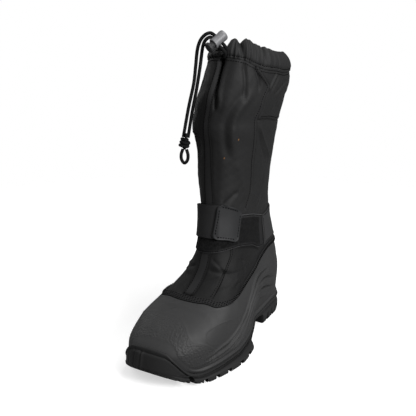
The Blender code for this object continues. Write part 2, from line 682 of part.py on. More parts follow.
def strap_tab():
    """Rounded rectangle on the strap's end: its rows narrow near the top and bottom."""
    corner = TAB_CORNER
    start_low, start_high = edge_heights(STRAP, TAB_START)
    height = float(start_high - start_low) + 1.0
    down = [corner * (1 - math.cos(math.radians(turn))) for turn in (0, 30, 60, 90)]
    levels = down + [height * 0.3, height * 0.5, height * 0.7] + [height - d for d in reversed(down)]
    rows = []
    for level in levels:
        reach = max(corner - level, level - (height - corner), 0.0)
        inset = corner - math.sqrt(max(corner**2 - reach**2, 0.0))
        ends = np.linspace(inset, TAB_LENGTH - inset, 9)
        start_angle = TAB_START - TAB_LEAN * (1 - level / height)
        angles = go_round(start_angle, STRAP_MIDDLE, ends)
        low, high = edge_heights(STRAP, angles)
        h = low - 0.5 + level * (high - low + 1.0) / height
        out = over_band(angles) + STRAP_THICKNESS + 2 * GAP
        rows.append(skin(angles, h, out))
    return sheet("strap_tab", np.array(rows), TAB_THICKNESS, TAB_RUBBER)


def heel_stay():
    inside = [a for a in columns() if STAY_ANGLE + 2 < a < 358 - STAY_ANGLE]
    angles = np.array([STAY_ANGLE] + inside + [360 - STAY_ANGLE])
    low = climb(angles, topline(angles), BINDING_WIDTH + 1.0)
    high = STAY_TOP + STAY_TOP_RISE * ramp(np.abs(signed(angles)), STAY_ANGLE, 150)
    points = [skin(angles, low + share * (high - low), OVER) for share in (0, 0.33, 0.67, 1)]
    return sheet("heel_stay", np.array(points), STAY_THICKNESS, TAB_RUBBER)


# ---- cord lock and drawcord ----------------------------------------------------------------
def lock_frame():
    """Place and turn of the lock: its own Z runs from the closed end to the button."""
    out = -PRESS
    cross = (CROSS - out * CROSS.dot(out)).normalized()
    turn = Matrix((cross.cross(out), cross, out)).transposed().to_4x4()
    origin = (LOCK_PLACE - out * CORDS_AT) * MM
    return Matrix.Translation(origin) @ turn


def turned(name, profile, finish):
    """A profile turned about its own Z."""
    bm = bmesh.new()
    points = [bm.verts.new((r * MM, 0, z * MM)) for r, z in profile]
    for a, b in zip(points, points[1:]):
        bm.edges.new((a, b))
    mesh = bpy.data.meshes.new(name)
    bm.to_mesh(mesh)
    bm.free()
    item = add(name, mesh, finish)
    screw = item.modifiers.new("turn", "SCREW")
    screw.angle = math.tau
    screw.steps = 20
    screw.render_steps = 20
    screw.use_merge_vertices = True
    screw.merge_threshold = 0.00001
    return item


def slot_cutter(name, length):
    bm = bmesh.new()
    bmesh.ops.create_cube(bm, size=1.0)
    middle = SLOT_START + length / 2
    bmesh.ops.scale(bm, vec=Vector((SLOT_WIDTH, 20.0, length)) * MM, verts=bm.verts)
    bmesh.ops.translate(bm, vec=Vector((0, 0, middle)) * MM, verts=bm.verts)
    mesh = bpy.data.meshes.new(name)
    bm.to_mesh(mesh)
    bm.free()
    return add(name, mesh)


def cord_lock():
    frame = lock_frame()
    barrel = turned("lock_barrel", BARREL, GLOSS)
    plunger = turned("lock_plunger", PLUNGER, GLOSS)
    barrel_slot = slot_cutter("barrel_slot", SLOT_LENGTH)
    plunger_slot = slot_cutter("plunger_slot", SLOT_LENGTH + TRAVEL + GAP)
    for item in (barrel, plunger, barrel_slot, plunger_slot):
        item.matrix_local = frame
    boolean(barrel, barrel_slot, "DIFFERENCE")
    boolean(plunger, plunger_slot, "DIFFERENCE")


def smooth_route(route, spacing):
    """Points at an even spacing on a smooth curve through a route's points."""
    knots = np.array(route, float)
    ends = np.vstack([2 * knots[0] - knots[1], knots, 2 * knots[-1] - knots[-2]])
    fine = []
    for i in range(len(knots) - 1):
        a, b, c, d = ends[i:i + 4]
        for t in np.linspace(0, 1, 12, endpoint=False):
            fine.append(0.5 * (2 * b + (c - a) * t + (2 * a - 5 * b + 4 * c - d) * t**2
                               + (3 * b - a - 3 * c + d) * t**3))
    fine = np.array(fine + [knots[-1]])
    walked = np.concatenate([[0], np.cumsum(np.linalg.norm(np.diff(fine, axis=0), axis=1))])
    count = max(2, round(walked[-1] / spacing)) + 1
    marks = np.linspace(0, walked[-1], count)
    return np.stack([np.interp(marks, walked, fine[:, k]) for k in range(3)], 1)


def tube(name, route, spacing):
    curve = bpy.data.curves.new(name, "CURVE")
    curve.dimensions = "3D"
    curve.bevel_depth = CORD_DIAMETER / 2 * MM
    curve.bevel_resolution = 2
    curve.use_fill_caps = True
    points = smooth_route(route, spacing)
    spline = curve.splines.new("POLY")
    spline.points.add(len(points) - 1)
    for made, place in zip(spline.points, points):
        made.co = (*(Vector(place) * MM), 1)
    curve.materials.append(material(CORD))
    item = bpy.data.objects.new(name, curve)
    item.parent = AXIS
    BOOT.objects.link(item)
    return item


def drawcord():
    tube("drawcord_outer", CORD_OUTER, 2 * CORD_DIAMETER)
    tube("drawcord_inner", CORD_INNER, 2 * CORD_DIAMETER)
    tube("drawcord_loop", LOOP, CORD_DIAMETER)
    bm = bmesh.new()
    bmesh.ops.create_uvsphere(bm, u_segments=14, v_segments=9, radius=1.0)
    bmesh.ops.scale(bm, vec=Vector(KNOT_SIZE) * MM, verts=bm.verts)
    mesh = bpy.data.meshes.new("drawcord_knot")
    bm.to_mesh(mesh)
    bm.free()
    knot = add("drawcord_knot", mesh, CORD)
    knot.location = Vector(KNOT_PLACE) * MM


BOOT, CUTTERS, AXIS = start()
outsole()
insole()
shell()
binding()
shaft()
collar()
front_strip()
ankle_band()
loop_patch()
strap()
strap_tab()
heel_stay()
cord_lock()
drawcord()
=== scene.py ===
"""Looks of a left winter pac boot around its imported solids.

Lengths are millimetres and angles degrees round the boot (0 toe, 90 outer side, 180 heel), in the
boot's own form. put() turns them into the frame's metres.
"""
import math
from collections import namedtuple

import bpy
import numpy as np
from mathutils import Matrix, Vector


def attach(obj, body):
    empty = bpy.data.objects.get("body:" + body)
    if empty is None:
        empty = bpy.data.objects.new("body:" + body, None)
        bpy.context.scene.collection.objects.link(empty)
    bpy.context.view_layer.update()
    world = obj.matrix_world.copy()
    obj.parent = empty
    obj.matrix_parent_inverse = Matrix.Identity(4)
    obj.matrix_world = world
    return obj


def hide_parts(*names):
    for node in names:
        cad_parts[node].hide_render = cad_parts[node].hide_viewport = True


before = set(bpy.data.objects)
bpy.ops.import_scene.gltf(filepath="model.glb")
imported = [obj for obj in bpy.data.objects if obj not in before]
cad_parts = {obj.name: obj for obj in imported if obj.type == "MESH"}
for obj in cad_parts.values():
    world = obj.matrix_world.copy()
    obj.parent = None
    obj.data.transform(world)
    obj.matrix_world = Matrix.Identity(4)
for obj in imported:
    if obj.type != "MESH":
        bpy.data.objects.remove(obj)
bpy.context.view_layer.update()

MM = 0.001
GAP = 0.3  # between neighbouring pieces
FORM_PLACE = np.array([0.68, -1.05, 0.0])

# ---- form of the upper: one row for each height ------------------------------------------
Section = namedtuple("Section", "h front back fore_w fore_y heel_w heel_y toe_x lean_x waist")
SECTIONS = [Section(*row) for row in (
    (0, -140, 150, 50.0, -62, 35.0, 106, -14, 0, 0.55),
    (24, -151, 152, 56.5, -65, 37.0, 106, -12, 0, 0.55),
    (43, -149, 152, 57.5, -66, 38.5, 106, -11, 0, 0.58),
    (65, -126, 150, 55.5, -62, 39.5, 106, -9, 1, 0.66),
    (82, -86, 146, 49.0, -48, 38.0, 105, -6, 3, 0.72),
    (95, -61, 142, 41.0, -32, 36.0, 102, -4, 4, 0.75),
    (108, -47, 138, 37.5, -10, 34.5, 98, -2, 5, 0.75),
    (125, -38, 132, 33.5, 6, 33.0, 92, 0, 5, 0.75),
    (141, -32, 129, 30.0, 17, 31.0, 85, 0, 5, 0.75),
    (162, -26, 128, 28.0, 26, 28.5, 77, 0, 4, 0.75),
    (190, -20, 130, 29.0, 34, 29.0, 71, 0, 2, 0.75),
    (227, -18, 136, 34.0, 39, 32.0, 71, 0, 0, 0.75),
    (271, -21, 143, 39.0, 44, 34.0, 71, 0, 2, 0.75),
    (300, -25, 147, 44.0, 45, 37.0, 71, 0, 2, 0.75),
    (325, -25, 151, 44.5, 47, 39.5, 71, 0, 6, 0.75),
    (350, -20, 153, 42.0, 49, 40.5, 71, 0, 11, 0.75),
    (372, -13, 151, 40.0, 51, 39.0, 71, 0, 14, 0.75),
    (388, -9, 149, 38.0, 52, 38.5, 71, 0, 15, 0.75),
    (408, 4, 132, 27.0, 54, 28.0, 71, 0, 16, 0.75),
)]
OVAL_POWER = 2.3  # squareness of the fore and heel ovals
BLEND_POWER = 5.0  # how softly the two ovals run into each other

# Front fold of the shaft and collar: height, angle of its bottom.
FOLD_LINE = [(316, 3), (322, 5), (330, 4.5), (345, 1), (360, 0), (408, 0)]
FOLD_HALF_WIDTH = 4.5
FOLD_DEPTH = 8.0
FOLD_START = (318.0, 372.0)  # it deepens between these heights

# ---- sole ----------------------------------------------------------------------------------
WELT_BALL, WELT_TOE, WELT_HEEL = 14.0, 33.0, 27.0  # top of the sole at three places
WELT_RISE = (0.0, 125.0)  # the welt climbs to the heel between these
TOE_BREAK_Y = -106.0  # the seat rises to the toe from here
SPRING_Y = -97.0  # the underside rises to the toe from here
TOE_TIP_Y = -156.0
TOE_SPRING = 27.0
SHANK_Y, ARCH_Y = 8.0, 50.0  # the arch rises between these
BREAST_Y = 72.0  # front face of the heel block
ARCH_RISE = 15.0
HEEL_BEVEL_Y = 134.0
HEEL_BEVEL = 3.5
SOLE_OUT = 3.4  # how far the sole stands out of the shell
RIM_GAP = 0.8  # between the rim and the shell
LIP = 1.6  # height of the rim around the shell's foot
BUMPER_TOP = 22.0  # how far the toe bumper rises over the welt
BUMPER_FULL = 13.0  # the bumper is full up to this angle each side
BUMPER_END = 40.0
BUMPER_CREASES = (-10.0, -17.0, -25.0, -33.0)  # angles of the upright creases that facet it
OUTLINE_H = 24.0  # height where the form's outline is the sole's outline
LUG_FLARE = 5.5  # how far the lugs spread at the ball's outer side
TOE_SCALLOP, TOE_SCALLOP_DEPTH = 10.0, 3.2  # spacing of the small notches under the toe
HEEL_TOOTH, HEEL_TOOTH_DEPTH = 13.0, 2.6  # spacing of the teeth round the heel's back
TREAD_DEPTH, TREAD_WIDTH = 6.5, 6.0
TREAD_SLANT = -24.0  # the bars run forward as they run outward
TREAD_RIB = 3.0  # half width of the rib along the middle, which stays whole
TREAD_GROOVES = (-128, -107, -86, -64, -37, -13, 84, 104, 125)

# ---- upper ---------------------------------------------------------------------------------
SHELL_WALL = 2.8
SHAFT_WALL = 3.0
COLLAR_WALL = 2.6
BINDING_WIDTH = 9.0
FLANGE_OUT = 2.4  # the shell's foot flange over the sole's rim
# Height of the shell's topline around the boot.
TOPLINE = [(0, 87), (14, 87), (30, 84), (42, 84), (52, 86), (66, 91), (80, 100), (95, 112),
           (116, 118), (145, 119), (180, 119)]
# Height of the collar's stitch line and of its top edge, from the inner side round.
STITCH = [(-180, 369), (-120, 372), (-60, 376), (-31, 377), (-19, 380), (7, 380.5), (19, 379),
          (28, 377.5), (40, 372.5), (50, 369), (61, 366), (77, 364), (96, 361), (140, 363),
          (180, 369)]
TOP_EDGE = [(-180, 393), (-120, 397), (-60, 398), (-34, 394), (-24, 389), (-4, 388.5), (0, 392),
            (5, 401), (11, 404), (18, 401), (24, 402), (31, 404), (42, 401), (53, 398), (60, 398),
            (77, 396), (95, 393), (140, 391), (180, 393)]
# How far the collar's top edge leans in.
LEAN = [(-180, 9), (-120, 8), (-60, 6), (-25, 2), (0, 0), (22, 0), (42, 2), (60, 6), (77, 10),
        (95, 13), (140, 13), (180, 9)]
PUFF = 2.3
# Pleats of the collar: angle at the top edge, angle at the stitch line, depth, half width.
PLEATS = [
    (-172, -171, 1.8, 4), (-158, -160, 1.2, 3), (-145, -144, 2.0, 4), (-130, -132, 1.4, 3),
    (-117, -116, 1.9, 4), (-103, -104, 1.3, 3), (-90, -88, 2.0, 4), (-76, -77, 1.2, 3),
    (-62, -61, 1.8, 4), (-48, -49, 1.3, 3), (-35, -33, 2.2, 4), (-14, -15, 0.7, 3),
    (11, 12, 0.9, 2.5), (21, 27, 6.5, 3.5), (33, 37, 1.0, 3), (44, 50, 1.5, 3),
    (57, 57, 2.2, 2.5), (67, 67, 0.9, 3), (78, 77, 1.4, 3), (87, 86, 1.2, 2.5),
    (97, 96, 1.8, 3.5), (109, 108, 1.3, 3), (121, 120, 2.0, 4), (134, 133, 1.4, 3),
    (146, 147, 1.9, 4), (160, 159, 1.2, 3),
]
POCKET_PLEAT, POCKET_DEPTH = 57.0, 2.8  # the collar's deep pleat on the outer side

# ---- straps and trim on the shaft ----------------------------------------------------------
OVER = 0.7  # between the shaft and what lies on it
STRIP_THICKNESS = BAND_THICKNESS = STAY_THICKNESS = 1.0
PILE_THICKNESS = 0.9
STRAP_THICKNESS = 1.6
TAB_THICKNESS = 2.0
# Front strip: height, how far its middle stands aside, half width.
STRIP = [(60, -4, 8.0), (130, -2, 8.0), (200, 0, 7.5), (260, -2, 6.0), (320, -2, 4.5),
         (345, -5, 4.5), (380, -8, 4.0)]
STRIP_SIDE = (15, 24)  # what crosses the strip comes down to the shaft between these angles
STAY_ANGLE = 104.0  # front edge of the heel stay, on both sides
STAY_TOP = 169.0
STAY_TOP_RISE = 4.0
BAND_END = STAY_ANGLE - 1.2  # band and strap stop just short of the stay
# Band and strap: angle, height of the lower edge, height of the upper edge.
BAND = [(-104, 128, 168), (-60, 136, 180), (0, 139, 186), (45, 143, 184), (76, 137, 179),
        (90, 129, 174), (104, 127, 169)]
STRAP = [(-104, 134, 177), (-60, 147, 190), (-20, 156, 199), (0, 157, 201), (14, 157, 202),
         (60, 146, 187)]
PILE_EDGE = 2.5  # the band shows this much around the loop pile
PILE_SPAN = (-30.0, 92.0)
STRAP_MIDDLE = 178.0  # height of the strap's middle at the front
TAB_LENGTH = 31.0
TAB_START = 13.5  # angle of the inner edge at the tab's top
TAB_LEAN = 6.5  # how much further forward the tab's foot is
TAB_CORNER = 6.5
TAB_OVERHANG = 4.0  # the strap stops this far under the tab's end
TAB_SUNK = 0.3  # the tab's face lies this much under its rim
SEWN_IN = 1.3  # from a band's edge to its row of stitches

# ---- cord lock -----------------------------------------------------------------------------
CORD_DIAMETER = 4.2
LOCK_PLACE = Vector((10, -17, 400))  # where the cords cross the lock
CORDS_AT = 12.3  # where they cross it, along its own length from the closed end
PRESS = Vector((0.42, 0.68, 0.60)).normalized()  # way the plunger is pressed
CROSS = Vector((-0.716, -0.158, 0.680)).normalized()  # way the cords run through
TRAVEL = 4.0
BARREL_LENGTH = 19.0
BARREL_FLOOR = 2.0
BORE_R = 4.8
SHANK_R = 4.4
BUTTON_FOOT = BARREL_LENGTH + TRAVEL + GAP
BUTTON_TOP = BUTTON_FOOT + 4.0
# columns: distance out of the axis, distance along it from the closed end
BARREL = [(BORE_R, BARREL_FLOOR), (BORE_R, BARREL_LENGTH), (6.0, BARREL_LENGTH), (6.6, 18.4),
          (6.6, 17.8), (6.2, 15.5), (6.1, 12), (6.2, 8), (6.5, 4), (6.4, 1.6), (5.9, 0.5),
          (4.8, 0.0), (0.01, -0.1)]
PLUNGER = [(0.01, BUTTON_TOP - 0.6), (3.6, BUTTON_TOP - 0.4), (4.4, BUTTON_TOP),
           (5.6, BUTTON_TOP - 0.1), (6.3, BUTTON_TOP - 0.8), (6.4, BUTTON_FOOT + 0.8),
           (5.9, BUTTON_FOOT), (SHANK_R, BUTTON_FOOT), (SHANK_R, BARREL_FLOOR + TRAVEL + 0.3)]

# ---- drawcord: the points that each stretch runs through -----------------------------------
CORD_OUTER = [(16.0, -8.1, 387.0), (19.4, -10.7, 390.0), (17.9, -13.9, 394.9),
              (11.0, -15.4, 401.4), (5.6, -16.6, 406.5), (1.4, -18.2, 408.8),
              (-4.0, -20.2, 407.0), (-9.2, -21.6, 401.8), (-12.5, -22.4, 394.6),
              (-14.4, -22.7, 386.0), (-16.0, -23.0, 371.3), (-18.8, -23.4, 350.2),
              (-26.0, -24.2, 321.2), (-34.0, -24.4, 284.8)]
CORD_INNER = [(15.8, -9.4, 381.0), (18.9, -13.2, 386.2), (16.0, -17.0, 391.6), (9.0, -18.6, 398.6),
              (3.6, -19.8, 403.7), (0.4, -21.8, 403.2), (-3.0, -22.4, 400.4), (-5.6, -22.2, 396.0),
              (-8.0, -21.4, 388.5), (-11.3, -21.0, 369.0), (-16.2, -20.8, 344.3),
              (-22.9, -20.6, 316.5), (-29.4, -20.6, 283.9)]
CORD_LOOP = [(-35.2, -24.2, 269.0), (-37.4, -24.6, 262.5), (-36.9, -24.8, 255.8),
             (-32.6, -24.8, 251.6), (-28.2, -24.6, 255.8), (-27.6, -24.2, 262.5),
             (-30.0, -23.8, 269.3)]
KNOT_PLACE = (-32.8, -23.4, 276.6)
KNOT_TAIL = [(-31.0, -25.6, 279.0), (-29.2, -26.6, 283.0), (-28.0, -26.8, 287.0),
             (-27.6, -26.6, 290.0)]

# ---- relief of the rubber and the cloth ----------------------------------------------------
# Soft ridges, or troughs where the depth is below 0: depth, width, line of (angle, height).
SHELL_GROOVES = [  # cut in, nested round the arch on the outer side and the inner side
    (2.9, 1.0, [(44, 29), (50, 31), (57, 34), (65, 37), (70, 42), (75, 47), (79, 52), (82, 58),
                (83, 67), (84, 75), (87, 81), (92, 86), (100, 88), (112, 87), (122, 84)]),
    (3.0, 1.0, [(43, 24), (50, 25), (58, 26), (67, 28), (74, 34), (80, 40), (84, 50), (86, 62),
                (89, 72), (92, 78), (100, 79), (115, 74), (125, 69), (136, 63)]),
    (3.0, 1.0, [(52, 21), (61, 22), (70, 23), (77, 27), (84, 32), (89, 43), (93, 54), (98, 62),
                (110, 60), (120, 57), (131, 51), (140, 47)]),
    (2.0, 1.1, [(-58, 27), (-68, 30), (-76, 36), (-83, 46), (-89, 58), (-95, 66), (-106, 66),
                (-120, 61), (-134, 54)]),
    (1.6, 1.1, [(-60, 37), (-70, 42), (-77, 50), (-82, 62), (-87, 74), (-97, 80), (-112, 78),
                (-128, 71)]),
]
SHELL_FOLDS = [
    # ribs between the grooves
    (2.1, 1.8, [(44, 33), (50, 35), (57, 39), (65, 42), (70, 47), (74, 53), (77, 60), (79, 68),
                (80, 77), (83, 85), (90, 92), (102, 94), (116, 92)]),
    (2.3, 1.6, [(43, 27), (50, 28), (58, 30), (66, 33), (72, 38), (77, 44), (81, 52), (84, 61),
                (86, 71), (89, 78), (94, 82), (106, 82), (120, 77), (134, 70)]),
    (2.3, 1.6, [(59, 22), (68, 23), (76, 30), (82, 37), (87, 47), (90, 58), (93, 67), (99, 71),
                (112, 66), (125, 62), (138, 55)]),
    (2.1, 1.9, [(80, 21), (87, 28), (93, 40), (97, 50), (106, 51), (118, 46), (130, 41)]),
    (1.6, 1.9, [(-59, 32), (-69, 35), (-77, 43), (-83, 54), (-89, 66), (-96, 73), (-110, 72),
                (-126, 66)]),
    (1.5, 1.9, [(-59, 22), (-69, 25), (-78, 33), (-86, 44), (-93, 55), (-104, 59), (-119, 55),
                (-134, 48)]),
    # rim of the bare badge field
    (0.5, 0.7, [(55, 45), (48, 49), (41, 57), (37, 65), (44, 69), (55, 68), (67, 62)]),
    # soft wave over the toe
    (0.8, 5.0, [(-30, 86), (-14, 83), (0, 84), (16, 82), (32, 76), (46, 66)]),
]
# Upper edge of the pebbled zone, by signed angle.
STIPPLE_EDGE = [(-180, 40), (-150, 46), (-120, 56), (-95, 62), (-70, 55), (-50, 61), (-35, 69),
                (-16, 75), (0, 76.5), (13, 72), (21, 66), (30, 58), (40, 53), (48, 46), (54, 34),
                (58, 20), (62, 10), (180, 10)]
SCUFFS = [(0.9, 0.5, [(-7, 79), (-2, 82)]), (1, 0.7, [(-15, 58), (-14, 59)]),
          (0.8, 0.6, [(9, 87), (10, 85)]), (0.6, 0.5, [(36, 72), (37, 70)])]
LINT = [(1, 0.6, [(38, 285), (39, 284)]), (0.8, 0.5, [(20, 262), (21, 261)])]
# Angle of the seam where the side panel lies over the back panels, at a height.
SIDE_SEAM = [(188, 66), (212, 71), (254, 66), (285, 64), (309, 62), (318, 65), (333, 66),
             (346, 69), (352, 64), (358, 58), (366, 51), (380, 44)]
# Height of the seam across the back and the inner side, at an angle from 0 to 360.
BACK_SEAM = [(60, 307), (78, 306), (101, 301), (180, 297), (250, 292), (300, 288), (350, 286)]
VAMP_SEAMS = [(-1.1, 0.9, [(40, 146), (40, 138), (37, 131), (29, 119), (23, 105), (18, 90)]),
              (-1.0, 0.9, [(40, 141), (51, 140.5), (62, 138.5), (73, 135.5), (83, 131.5),
                           (91, 125), (94, 118)])]
SHAFT_FOLDS = [
    # under the collar
    (-2.8, 3.0, [(27, 378), (30, 368), (35, 354), (38, 340), (39, 328)]),
    (-2.2, 2.4, [(42, 373), (50, 359), (54, 349), (55, 340)]),
    (1.4, 2.2, [(46, 369), (56, 358), (63, 350)]),
    (1.9, 1.8, [(79, 364), (73, 350), (69, 339)]),
    (-1.4, 2.2, [(85, 362), (79, 350), (73, 338)]),
    (-1.5, 1.4, [(109, 354), (96, 346), (86, 339), (79, 333)]),
    (1.1, 1.6, [(107, 349), (95, 342), (84, 334)]),
    (-2.0, 2.6, [(126, 362), (122, 348), (114, 336)]),
    (1.5, 2.4, [(134, 362), (131, 346), (126, 330)]),
    (-1.9, 2.6, [(152, 362), (156, 344), (158, 328)]),
    (-2.2, 2.8, [(-170, 366), (-166, 350), (-158, 336)]),
    (1.4, 2.4, [(-156, 366), (-150, 350), (-146, 336)]),
    (-2.1, 2.6, [(-142, 368), (-140, 352), (-130, 338)]),
    (-2.0, 2.8, [(-114, 370), (-110, 354), (-112, 338)]),
    (-2.4, 2.6, [(-88, 372), (-84, 356), (-76, 342)]),
    (1.5, 2.4, [(-76, 372), (-70, 356), (-64, 344)]),
    (-2.2, 2.6, [(-60, 373), (-54, 358), (-50, 340), (-52, 322)]),
    (-2.0, 2.4, [(-34, 374), (-30, 358), (-31, 340)]),
    # soft bulge of the side panel
    (2.8, 5.5, [(52, 345), (40, 330), (32, 314), (30, 296), (31, 276), (36, 258)]),
    (-2.0, 5.0, [(40, 346), (29, 330), (22, 314), (20, 296), (22, 276), (27, 258)]),
    (1.2, 6.0, [(38, 258), (46, 240), (56, 217), (60, 198)]),
    # inner side of the front
    (1.5, 2.4, [(-17, 318), (-20, 304), (-25, 284), (-24, 262), (-22, 244)]),
    (-1.2, 2.6, [(-11, 316), (-13, 302), (-16, 284), (-16, 262)]),
    # over the strap
    (-2.4, 3.4, [(22, 196), (30, 204), (40, 211), (49, 216)]),
    (-1.5, 3.0, [(-60, 196), (-50, 206), (-36, 212)]),
    (1.2, 3.0, [(84, 184), (92, 196), (98, 212), (99, 232)]),
    # pleat of the lower back panel
    (1.8, 2.2, [(64, 305), (70, 294), (78, 280), (90, 264), (99, 252), (106, 240)]),
    (-1.6, 2.6, [(64, 296), (70, 284), (76, 272), (88, 255), (96, 244)]),
    (-1.5, 3.2, [(150, 290), (160, 270), (164, 240)]),
    (-1.9, 3.2, [(-150, 288), (-140, 268), (-120, 250), (-108, 236)]),
    (1.5, 3.6, [(-60, 282), (-70, 262), (-84, 240), (-90, 214)]),
    (-1.5, 3.6, [(-48, 282), (-58, 262), (-70, 238), (-76, 214)]),
    # vamp
    (-1.3, 1.9, [(-2, 121), (6, 119), (16, 117), (26, 115), (36, 113), (50, 113), (56, 114)]),
    (-1.1, 1.7, [(3, 135), (8, 132), (16, 127), (24, 119), (29, 113)]),
    (-0.9, 1.6, [(46, 96), (50, 99), (56, 100), (62, 103)]),
    (0.8, 1.5, [(61, 131), (63, 122), (64, 112), (63, 104)]),
    (-0.8, 1.4, [(57, 128), (59, 120), (60, 112)]),
    (1.2, 2.4, [(8, 126), (18, 123), (30, 120), (38, 117)]),
    (-1.3, 1.7, [(-4, 102), (2, 104), (10, 107), (18, 110), (24, 112)]),
    (1.2, 2.2, [(20, 98), (30, 98), (42, 101), (54, 106)]),
    (-1.6, 2.0, [(-12, 122), (-22, 118), (-34, 114), (-46, 113)]),
    (-1.5, 2.2, [(-16, 104), (-28, 106), (-42, 108), (-56, 112)]),
    (1.5, 2.6, [(-14, 112), (-26, 112), (-42, 114), (-54, 118)]),
    (-1.1, 2.0, [(46, 128), (58, 124), (70, 120)]),
]


# ---- curves --------------------------------------------------------------------------------
def monotone(xs, ys, x):
    """Smooth curve through a table's points that never overshoots them."""
    xs, ys = np.asarray(xs, float), np.asarray(ys, float)
    step = np.diff(xs)
    slope = np.diff(ys) / step
    tangent = np.zeros_like(ys)
    tangent[0], tangent[-1] = slope[0], slope[-1]
    for i in range(1, len(xs) - 1):
        a, b = slope[i - 1], slope[i]
        if a * b > 0:
            wa, wb = 2 * step[i] + step[i - 1], step[i] + 2 * step[i - 1]
            tangent[i] = (wa + wb) / (wa / a + wb / b)
    x = np.clip(x, xs[0], xs[-1])
    k = np.clip(np.searchsorted(xs, x, side="right") - 1, 0, len(xs) - 2)
    t = (x - xs[k]) / step[k]
    from_left = (1 + 2 * t) * (1 - t) ** 2 * ys[k] + t * (1 - t) ** 2 * step[k] * tangent[k]
    from_right = t * t * (3 - 2 * t) * ys[k + 1] + t * t * (t - 1) * step[k] * tangent[k + 1]
    return from_left + from_right


def along(table, x, column=1):
    """Value of a table's column at x, which its first column holds."""
    columns = list(zip(*table))
    return monotone(columns[0], columns[column], x)


def ramp(x, start, end):
    """Smooth step from 0 at start to 1 at end."""
    t = np.clip((np.asarray(x, float) - start) / (end - start), 0, 1)
    return t * t * (3 - 2 * t)


def bell(x, width):
    """1 where x is 0, falling off softly over a width on both sides."""
    return np.exp(-((x / width) ** 2))


def signed(angle):
    """The same angle between -180 and 180."""
    return (np.asarray(angle, float) + 180) % 360 - 180


def aside(angle):
    """How far an angle is from the toe's, on either side."""
    return np.abs(signed(angle))


def norm(vectors, keep=False):
    return np.linalg.norm(vectors, axis=-1, keepdims=keep)


def lengths(points, axis):
    """Distance gone along an axis of a grid of points, from its first row or column."""
    step = norm(np.diff(points, axis=axis))
    start = np.zeros_like(np.take(step, [0], axis=axis))
    return np.concatenate([start, np.cumsum(step, axis=axis)], axis=axis)


def evenly(points, spacing, values):
    """Values at an even spacing along a line of points that they belong to."""
    walked = lengths(points, 0)
    marks = np.linspace(0, walked[-1], max(2, round(walked[-1] / spacing)) + 1)
    return np.stack([np.interp(marks, walked, column) for column in values.T], 1)


def smooth_route(route, spacing):
    """Points at an even spacing on a smooth curve through a route's points."""
    knots = np.array(route, float)
    ends = np.vstack([2 * knots[0] - knots[1], knots, 2 * knots[-1] - knots[-2]])
    fine = []
    for i in range(len(knots) - 1):
        a, b, c, d = ends[i:i + 4]
        for t in np.linspace(0, 1, 12, endpoint=False):
            fine.append(0.5 * (2 * b + (c - a) * t + (2 * a - 5 * b + 4 * c - d) * t**2
                               + (3 * b - a - 3 * c + d) * t**3))
    fine = np.array(fine + [knots[-1]])
    return evenly(fine, spacing, fine)


# ---- the boot's outer form -----------------------------------------------------------------
def oval(y, centre, front_reach, back_reach, width):
    reach = np.where(y < centre, front_reach, back_reach)
    u = np.clip(np.abs(y - centre) / reach, 0, 1)
    return width * (1 - u**OVAL_POWER) ** (1 / OVAL_POWER)


def base(angle, h):
    """Point of the outer form at an angle around the boot and a height."""
    s = Section(*(along(SECTIONS, h, column) for column in range(len(Section._fields))))
    turn = np.radians(angle)
    y = (s.front + s.back) / 2 - (s.back - s.front) / 2 * np.cos(turn)
    fore = oval(y, s.fore_y, s.fore_y - s.front, (s.back - s.fore_y) * s.waist, s.fore_w)
    heel = oval(y, s.heel_y, (s.heel_y - s.front) * s.waist, s.back - s.heel_y, s.heel_w)
    half = (fore**BLEND_POWER + heel**BLEND_POWER) ** (1 / BLEND_POWER)
    forward = np.clip((s.fore_y - y) / (s.fore_y - s.front) + 0.3, 0, 1)
    x = np.sign(np.round(np.sin(turn), 9)) * half + s.toe_x * forward + s.lean_x
    beside = signed(angle) - along(FOLD_LINE, h)
    y = y + FOLD_DEPTH * ramp(h, *FOLD_START) * bell(beside, FOLD_HALF_WIDTH)
    return np.stack(np.broadcast_arrays(x, y, h), -1)


def skin(angle, h, out=0.0):
    """Point at a distance out of the form, square to it."""
    angle, h = np.broadcast_arrays(np.asarray(angle, float), np.asarray(h, float))
    turn = rise = 0.8
    normal = np.cross(base(angle + turn, h) - base(angle - turn, h),
                      base(angle, h + rise) - base(angle, h - rise))
    normal /= norm(normal, keep=True)
    return base(angle, h) + normal * np.asarray(out, float)[..., None]


def climb(angle, h, distance):
    """Height reached by going a distance up the form's surface."""
    steps = 6
    h = np.asarray(h, float)
    for _ in range(steps):
        h = h + distance / steps / norm(base(angle, h + 0.5) - base(angle, h - 0.5))
    return h


def go_round(angle, h, distance):
    """Angle reached by going a distance around the form at one height."""
    steps = 8
    angle = np.asarray(angle, float)
    for _ in range(steps):
        arc = base(angle + 0.5, h) - base(angle - 0.5, h)
        angle = angle + np.asarray(distance) / steps / norm(arc)
    return angle


def even_angles(h, count):
    """Angles that part the boot's outline at a height into even lengths."""
    fine = np.linspace(0, 360, 2881)
    walked = lengths(base(fine, np.full_like(fine, h)), 0)
    return np.interp(np.linspace(0, walked[-1], count, endpoint=False), walked, fine)


def surface_route(points, step):
    """Angles and heights at even steps along a smooth line over the form."""
    knots = smooth_route([(a, h, 0) for a, h in points], 0.5)[:, :2]
    return evenly(base(*knots.T), step, knots).T


def topline(angle):
    return along(TOPLINE, aside(angle))


def stitch_line(angle):
    return along(STITCH, signed(angle))


def top_edge(angle):
    return along(TOP_EDGE, signed(angle))


def sole_top(y):
    """Height of the seat that carries shell and insole."""
    share = np.clip((TOE_BREAK_Y - y) / (TOE_BREAK_Y - TOE_TIP_Y), 0, 1)
    toe = (WELT_TOE - WELT_BALL) * share ** 1.6
    return WELT_BALL + toe + (WELT_HEEL - WELT_BALL) * ramp(y, *WELT_RISE)


